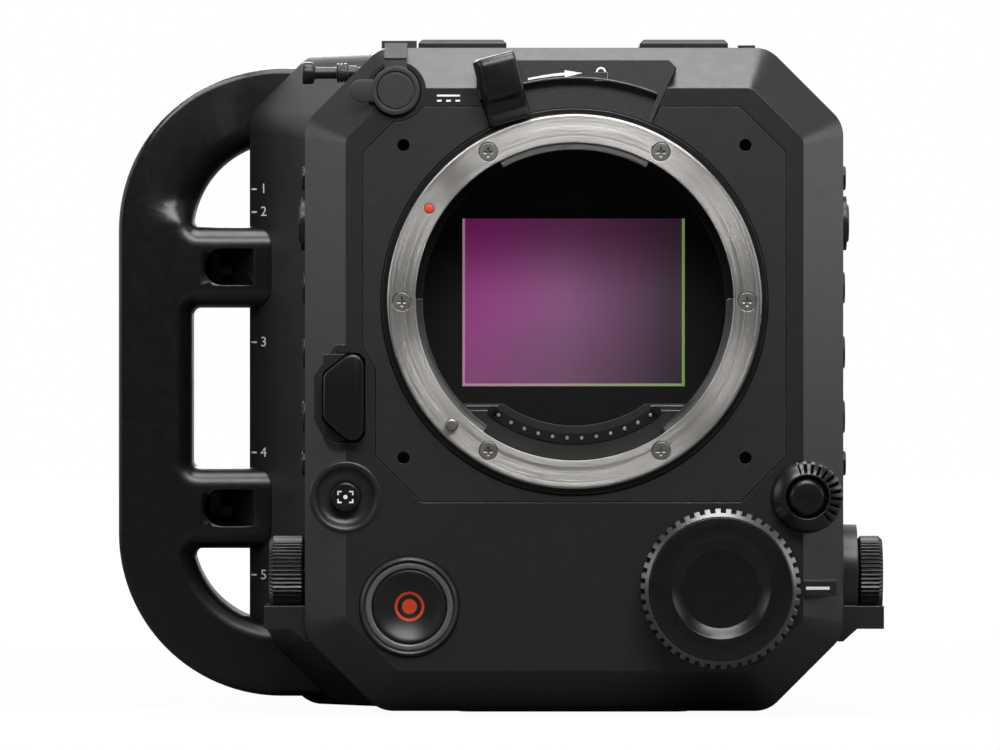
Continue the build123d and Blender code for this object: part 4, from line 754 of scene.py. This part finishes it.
bmesh.ops.rotate(
    bm, verts=bm.verts, cent=(0, 0, 0), matrix=Matrix.Rotation(math.radians(leverLook["lean"]), 3, "Z"),
)
middle = (leverLook["x"], frontPlane, leverLook["z"])
finishPiece(bm, "lever_thumb", "lock_ring_turns", "lock_black", middle, ["lock_lever"], 40)

# Glass plates over the sensor
glassPlate("filter_plate", "nd_filter", "filter_glass")
glassPlate("cover_plate", "sensor_cover_glass", "cover_glass")

# Dish of the grab button, with a rounded rim
bm = bmesh.new()
turned(bm, [
    (7.45, -1.7), (7.45, -0.35), (7.36, 0.0), (7.1, 0.22), (6.8, 0.28), (6.5, 0.2), (6.2, -0.05),
    (5.75, -0.6), (5.2, -1.02), (4.4, -1.25), (3.5, -1.34), (3.3, -1.36), (3.2, -1.7), (7.45, -1.7),
])
middle = middleOf("grab_button")
middle.y = frontPlane
finishPiece(bm, "grab_dish", "camera", "body_paint", middle, smooth=50)

# Lens release: a thumb button with slanted left corners and soft edges
releaseLook = {
    "width": 8.2, "height": 17.6, "thick": 4.1, "reach": 5.0, "upper": 4.0, "lower": 4.4, "corner": 0.9,
    "edge": 0.55, "post": (4.0, 10.0),
}
low, high = endOf("lens_release_button")
bm = bmesh.new()
half, tall, thick = releaseLook["width"] / 2, releaseLook["height"] / 2, releaseLook["thick"]
slantEnd = releaseLook["reach"] - half
slantTop, slantBase = tall - releaseLook["upper"], releaseLook["lower"] - tall
outline = [
    (-half, slantTop), (slantEnd, tall), (half - 1.2, tall), (half, tall - 1.4),
    (half, 1.4 - tall), (half - 1.2, -tall), (slantEnd, -tall), (-half, slantBase),
]
bm.faces.new([bm.verts.new((x, z, 0.0)) for x, z in outline])
softened(bm, bm.verts[:], releaseLook["corner"], 4, "VERTICES")
raised(bm, bm.faces[:], thick)
bmesh.ops.recalc_face_normals(bm, faces=bm.faces)
rim = [edge for edge in bm.edges if min(vert.co.z for vert in edge.verts) > thick - 0.1]
softened(bm, rim, releaseLook["edge"], 4)
deep = high.y - low.y
postLength = deep - 4.0
block(bm, (*releaseLook["post"], postLength), (0, 0, thick - deep + postLength / 2))
releaseX, releaseZ = low.x + half, (low.z + high.z) / 2
middle = (releaseX, low.y + thick, releaseZ)
finishPiece(bm, "release_thumb", "lens_release", "button_black", middle, ["lens_release_button"])

# Corners of the seat that the release button's slants leave open
seatLook = {"gap": 0.4, "over": 0.1, "floor": -57.5, "rise": 2.4, "lip": 0.12}
bm = bmesh.new()
left, gap, over = -half - seatLook["over"], seatLook["gap"], seatLook["over"]
for spots in (
    ((left, slantTop + gap, 0), (slantEnd - gap, tall + over, 0), (left, tall + over, 0)),
    ((left, slantBase - gap, 0), (left, -tall - over, 0), (slantEnd - gap, -tall - over, 0)),
):
    bm.faces.new([bm.verts.new(spot) for spot in spots])
corners = raised(bm, bm.faces[:], seatLook["rise"])
raised(bm, corners, seatLook["lip"])
finishPiece(bm, "release_seat_corners", "camera", "body_paint", (releaseX, seatLook["floor"], releaseZ))

# Small domed cap of the grab button
grabLook = {"radius": 3.05}
bm = bmesh.new()
turned(bm, [
    (0.0, -0.25), (1.2, -0.22), (2.0, -0.1), (2.5, 0.0), (2.85, -0.12), (grabLook["radius"], -0.45),
    (grabLook["radius"], -5.0), (2.2, -5.1), (2.2, -9.5), (0.0, -9.5),
], 64)
grabCap = finishPiece(
    bm, "grab_cap", "grab_button", "button_black", frontOf("grab_button"), ["grab_button"], 50,
)
print("buttons and wheels")


# Printed marks: thin shapes that lie on a node's face
markLook = {"proud": 0.04, "deep": 0.06}
cameraLook = {"x": -15.2, "z": 69.9, "away": 1860.0, "lens": 317.5, "sensor": 36.0}
cameraLook["focalPixels"] = 8819.0        # the lens's length in pixels of the photograph


def atPixel(x, y, behind=0.0):
    # where a pixel of the 1000 by 750 photograph lies, so far behind the front plane
    perPixel = (cameraLook["away"] + frontPlane + behind) / cameraLook["focalPixels"]
    return cameraLook["x"] + (x - 500) * perPixel, cameraLook["z"] - (y - 375) * perPixel


def roundLens(radius, turn):
    # a place round the lens axis, the turn in degrees from the right
    angle = math.radians(turn)
    return lensMiddle[0] + radius * math.cos(angle), lensMiddle[1] + radius * math.sin(angle)


def outlineFace(bm, points):
    return bm.faces.new([bm.verts.new((x, z, 0.0)) for x, z in points])


def bar(bm, first, second, width):
    # a straight stroke between two points
    (ax, az), (bx, bz) = first, second
    along = Vector((bx - ax, bz - az)).normalized() * width / 2
    across = Vector((-along.y, along.x))
    outlineFace(bm, [
        (ax - across.x, az - across.y), (bx - across.x, bz - across.y),
        (bx + across.x, bz + across.y), (ax + across.x, az + across.y),
    ])


def arcBar(bm, middle, radius, width, start, sweep, steps=16):
    # a curved stroke; angles in degrees from the right, anticlockwise
    turn = math.radians(start)
    ends = [
        bm.verts.new((middle[0] + far * math.cos(turn), middle[1] + far * math.sin(turn), 0.0))
        for far in (radius - width / 2, radius + width / 2)
    ]
    edge = bm.edges.new(ends)
    bmesh.ops.spin(
        bm, geom=ends + [edge], cent=(*middle, 0.0), axis=(0, 0, 1), angle=math.radians(sweep), steps=steps,
        use_merge=abs(sweep) > 359,
    )


def dot(bm, middle, radius, segments=24):
    made = bmesh.ops.create_circle(bm, cap_ends=True, segments=segments, radius=radius)["verts"]
    bmesh.ops.translate(bm, verts=made, vec=(*middle, 0.0))


def number(bm, text, middle, height):
    curve = bpy.data.curves.new("number", "FONT")
    curve.body = text
    curve.size = height / 0.7        # a digit is about 0.7 of the font's size
    curve.align_x = "CENTER"
    curve.align_y = "CENTER"
    holder = bpy.data.objects.new("number", curve)
    scene.collection.objects.link(holder)
    bpy.context.view_layer.update()
    flat = bpy.data.meshes.new_from_object(holder.evaluated_get(bpy.context.evaluated_depsgraph_get()))
    bpy.data.objects.remove(holder)
    old = set(bm.verts)
    bm.from_mesh(flat)
    bmesh.ops.translate(bm, verts=[vert for vert in bm.verts if vert not in old], vec=(*middle, 0.0))


def printed(bm, name, node, body, slot, finish=markWhite, proud=markLook["proud"]):
    # gives the drawing a thickness and lays each of its points on the front of a node
    bmesh.ops.remove_doubles(bm, verts=bm.verts, dist=1e-4)
    pulled(bm, bm.faces[:], (0, 0, 1))
    target = nodes[node] if isinstance(node, str) else node
    away = outOf["front"].to_3x3() @ Vector((0, 0, 1))
    for vert in bm.verts:
        flat = outOf["front"] @ Vector((vert.co.x, vert.co.y, 0.0)) * mm
        hit, point, *rest = target.ray_cast(flat + away * 0.2, -away)
        level = (point - flat).dot(away) / mm if hit else 0.0
        vert.co.z = level + (proud if vert.co.z > 0.5 else -markLook["deep"])
    finishPiece(bm, name, body, slot, finish=finish)


bpy.context.view_layer.update()
# The arrow and the closed padlock beside the lock lever
bm = bmesh.new()
arrow = [atPixel(x, y) for x, y in ((528, 79.2), (540, 76.9), (553, 75.0), (566, 73.8))]
for first, second, width in zip(arrow, arrow[1:], (0.42, 0.5, 0.56)):
    bar(bm, first, second, width)
outlineFace(bm, [atPixel(x, y) for x, y in ((564.5, 70.2), (582.5, 73.0), (564.8, 77.4))])
x, z = atPixel(601, 74.5)
outlineFace(bm, [(x - 1.35, z - 1.25), (x + 1.35, z - 1.25), (x + 1.35, z + 0.45), (x - 1.35, z + 0.45)])
arcBar(bm, (x, z + 0.5), 0.85, 0.38, 0, 180, 14)
printed(bm, "lock_mark", "lock_plate", "camera", "lock_plate_paint")

# A straight line over three dashes for the direct-current outlet
bm = bmesh.new()
left, right = atPixel(437, 95.6), atPixel(460, 95.6)
bar(bm, left, right, 0.38)
step = (right[0] - left[0]) / 5
for place in (0, 2, 4):
    bar(bm, (left[0] + place * step, left[1] - 1.05), (left[0] + (place + 1) * step, left[1] - 1.05), 0.38)
printed(bm, "outlet_mark", "front_shell", "camera", "body_paint")

# The white index of the filter dial
bm = bmesh.new()
bar(bm, atPixel(806, 588.2), atPixel(829.5, 588.2), 0.62)
printed(bm, "filter_index", "front_shell", "camera", "body_paint")

# A ring and a dot stand for recording on the cap
bm = bmesh.new()
middle = middleOf("rec_button")
arcBar(bm, (middle.x, middle.z), 2.75, 0.55, 0, 360, 48)
dot(bm, (middle.x, middle.z), 1.55, 32)
printed(bm, "rec_mark", recCap, "rec_button", "rec_black", markRed)

# Corners of a picture frame stand for grabbing a still
bm = bmesh.new()
middle = middleOf("grab_button")
for turnX in (-1, 1):
    for turnZ in (-1, 1):
        corner = (middle.x + turnX * 1.5, middle.z + turnZ * 1.1)
        bar(bm, (corner[0] + turnX * 0.15, corner[1]), (corner[0] - turnX * 0.75, corner[1]), 0.3)
        bar(bm, (corner[0], corner[1] - turnZ * 0.15), (corner[0], corner[1] - turnZ * 0.7), 0.3)
dot(bm, (middle.x, middle.z), 0.45, 20)
printed(bm, "grab_mark", grabCap, "grab_button", "button_black")

# Red index for the lens, an enamel dot in its recess
bm = bmesh.new()
turned(bm, [(0.0, 0.12), (0.5, 0.1), (0.8, 0.02), (1.0, -0.12), (1.0, -0.35), (0.0, -0.35)], 32)
x, z = roundLens(35.2, 147.5)
middle = (x, endOf("mount_ring")[0].y, z)
finishPiece(bm, "lens_index", "camera", "mount_steel", middle, smooth=60, finish=markRed)

# White ticks and plain numbers beside the sockets on the connector side
bm = bmesh.new()
for count, row in enumerate((188, 211, 342, 453, 576)):
    x, z = atPixel(250.0, row, 34.0)
    bar(bm, (x, z), (x + 1.1, z), 0.36)
    number(bm, str(count + 1), (x + 2.6, z), 2.0)
printed(bm, "socket_marks", "connector_side_cover", "camera", "body_paint")

# A thin lip along the lever's track, light grey: a painted highlight on the track's edge
bm = bmesh.new()
arcBar(bm, lensMiddle, 45.75, 0.24, 68.5, 36.0, 40)
printed(bm, "track_lip_highlight", "lock_plate", "camera", "lock_plate_paint", greyRing, 0.03)

# Strip that carries the lens contacts, and the ledges at both of its sides
bm = bmesh.new()
stripLook = {"radius": 27.95, "width": 2.2, "halfSweep": 36.5}
arcBar(
    bm, lensMiddle, stripLook["radius"], stripLook["width"], 270 - stripLook["halfSweep"],
    2 * stripLook["halfSweep"], 48,
)
for turn in (-stripLook["halfSweep"], stripLook["halfSweep"]):
    dot(bm, roundLens(stripLook["radius"], 270 + turn), stripLook["width"] / 2, 24)
printed(
    bm, "contact_strip", "contact_block", "camera", "contact_plastic", finishes["light_box_black"], 0.25,
)
bm = bmesh.new()
for drop, width in ((21.35, 0.3), (22.3, 0.24)):
    for way in (-1, 1):
        bar(bm, (way * 15.6, lensMiddle[1] - drop), (way * 22.2, lensMiddle[1] - drop), width)
printed(bm, "contact_ledges", "contact_block", "camera", "contact_plastic", greyRing, 0.1)
print("printed marks")


# Light, floor and camera
studio = {
    "top": {"at": (0.0, -0.11, 0.54), "size": (0.27, 0.28), "power": 2.15, "aim": (0.0, -0.06, 0.09)},
    "topFront": {"at": (0.03, -0.30, 0.34), "size": (0.34, 0.10), "power": 1.5, "aim": (0.0, -0.06, 0.12)},
    "left": {"at": (-0.55, -0.14, 0.22), "size": (0.32, 0.28), "power": 0.56, "aim": (-0.05, -0.10, 0.12)},
    "right": {"at": (0.55, -0.05, 0.22), "size": (0.34, 0.28), "power": 0.74, "aim": (0.05, -0.05, 0.12)},
    "back": {"at": (-0.25, 0.95, 0.55), "size": (0.6, 0.4), "power": 7.0, "aim": (0.0, 0.0, 0.08)},
}
for name, lamp in studio.items():
    light = bpy.data.lights.new(name, "AREA")
    light.shape = "RECTANGLE"
    light.size, light.size_y = lamp["size"]
    light.energy = lamp["power"]
    holder = bpy.data.objects.new(name, light)
    scene.collection.objects.link(holder)
    holder.location = lamp["at"]
    holder.rotation_euler = (Vector(lamp["aim"]) - holder.location).to_track_quat("-Z", "Y").to_euler()

world = bpy.data.worlds.new("studio")
scene.world = world
world.use_nodes = True
world.node_tree.nodes.clear()


class Room(Finish):
    def __init__(self, tree):
        self.tree = tree


room = Room(world.node_tree)
roomLook = {"white": 1.0, "front": 0.045}
direction = room.add("ShaderNodeTexCoord", {}, {}, "Generated")
behind = direction.axis("Y").over(0.15, 0.25)
seen = (
    room.add("ShaderNodeLightPath", {}, {}, "Is Camera Ray")
    + room.add("ShaderNodeLightPath", {}, {}, "Is Transmission Ray")
    + room.add("ShaderNodeLightPath", {}, {}, "Is Glossy Ray") * behind
).held()
dim = room.add("ShaderNodeBackground", {}, {"Color": (1, 1, 1, 1), "Strength": roomLook["front"]})
bright = room.add("ShaderNodeBackground", {}, {"Color": (1, 1, 1, 1), "Strength": roomLook["white"]})
both = room.add("ShaderNodeMixShader", {}, {0: seen, 1: dim, 2: bright})
out = world.node_tree.nodes.new("ShaderNodeOutputWorld")
world.node_tree.links.new(both.socket, out.inputs["Surface"])

bm = bmesh.new()
bmesh.ops.create_grid(bm, x_segments=4, y_segments=4, size=4.0)
floorMesh = bpy.data.meshes.new("floor")
bm.to_mesh(floorMesh)
bm.free()
floor = bpy.data.objects.new("floor", floorMesh)
scene.collection.objects.link(floor)
# The floor glows for the camera and keeps a share of matte paint that takes the shadow.
floorLook = {"matte": 0.16, "glow": 1.14, "share": 0.85, "farShare": 0.08}
pale = Finish("floor_pale", "ShaderNodeMixShader")
path = pale.add("ShaderNodeLightPath", {}, {}, "Is Camera Ray")
place = pale.spot()
fromMiddle = (place.axis("X") ** 2 + place.axis("Y") ** 2) ** 0.5
glowShare = floorLook["share"] + fromMiddle.over(0.7, 0.45) * floorLook["farShare"]
matte = pale.add("ShaderNodeBsdfDiffuse", {}, {"Color": (*[floorLook["matte"]] * 3, 1)})
glow = pale.add("ShaderNodeEmission", {}, {"Color": (1, 1, 1, 1), "Strength": floorLook["glow"]})
pale.plug(pale.shader.inputs[0], path * glowShare)
pale.plug(pale.shader.inputs[1], matte)
pale.plug(pale.shader.inputs[2], glow)
floorMesh.materials.append(pale.material)

lens = bpy.data.cameras.new("camera")
lens.lens = cameraLook["lens"]
lens.sensor_width = cameraLook["sensor"]
lens.clip_start = 0.05
lens.clip_end = 50.0
camera = bpy.data.objects.new("camera", lens)
scene.collection.objects.link(camera)
camera.location = (cameraLook["x"] * mm, -cameraLook["away"] * mm, cameraLook["z"] * mm)
camera.rotation_euler = (math.pi / 2, 0, 0)
scene.camera = camera
print("studio")
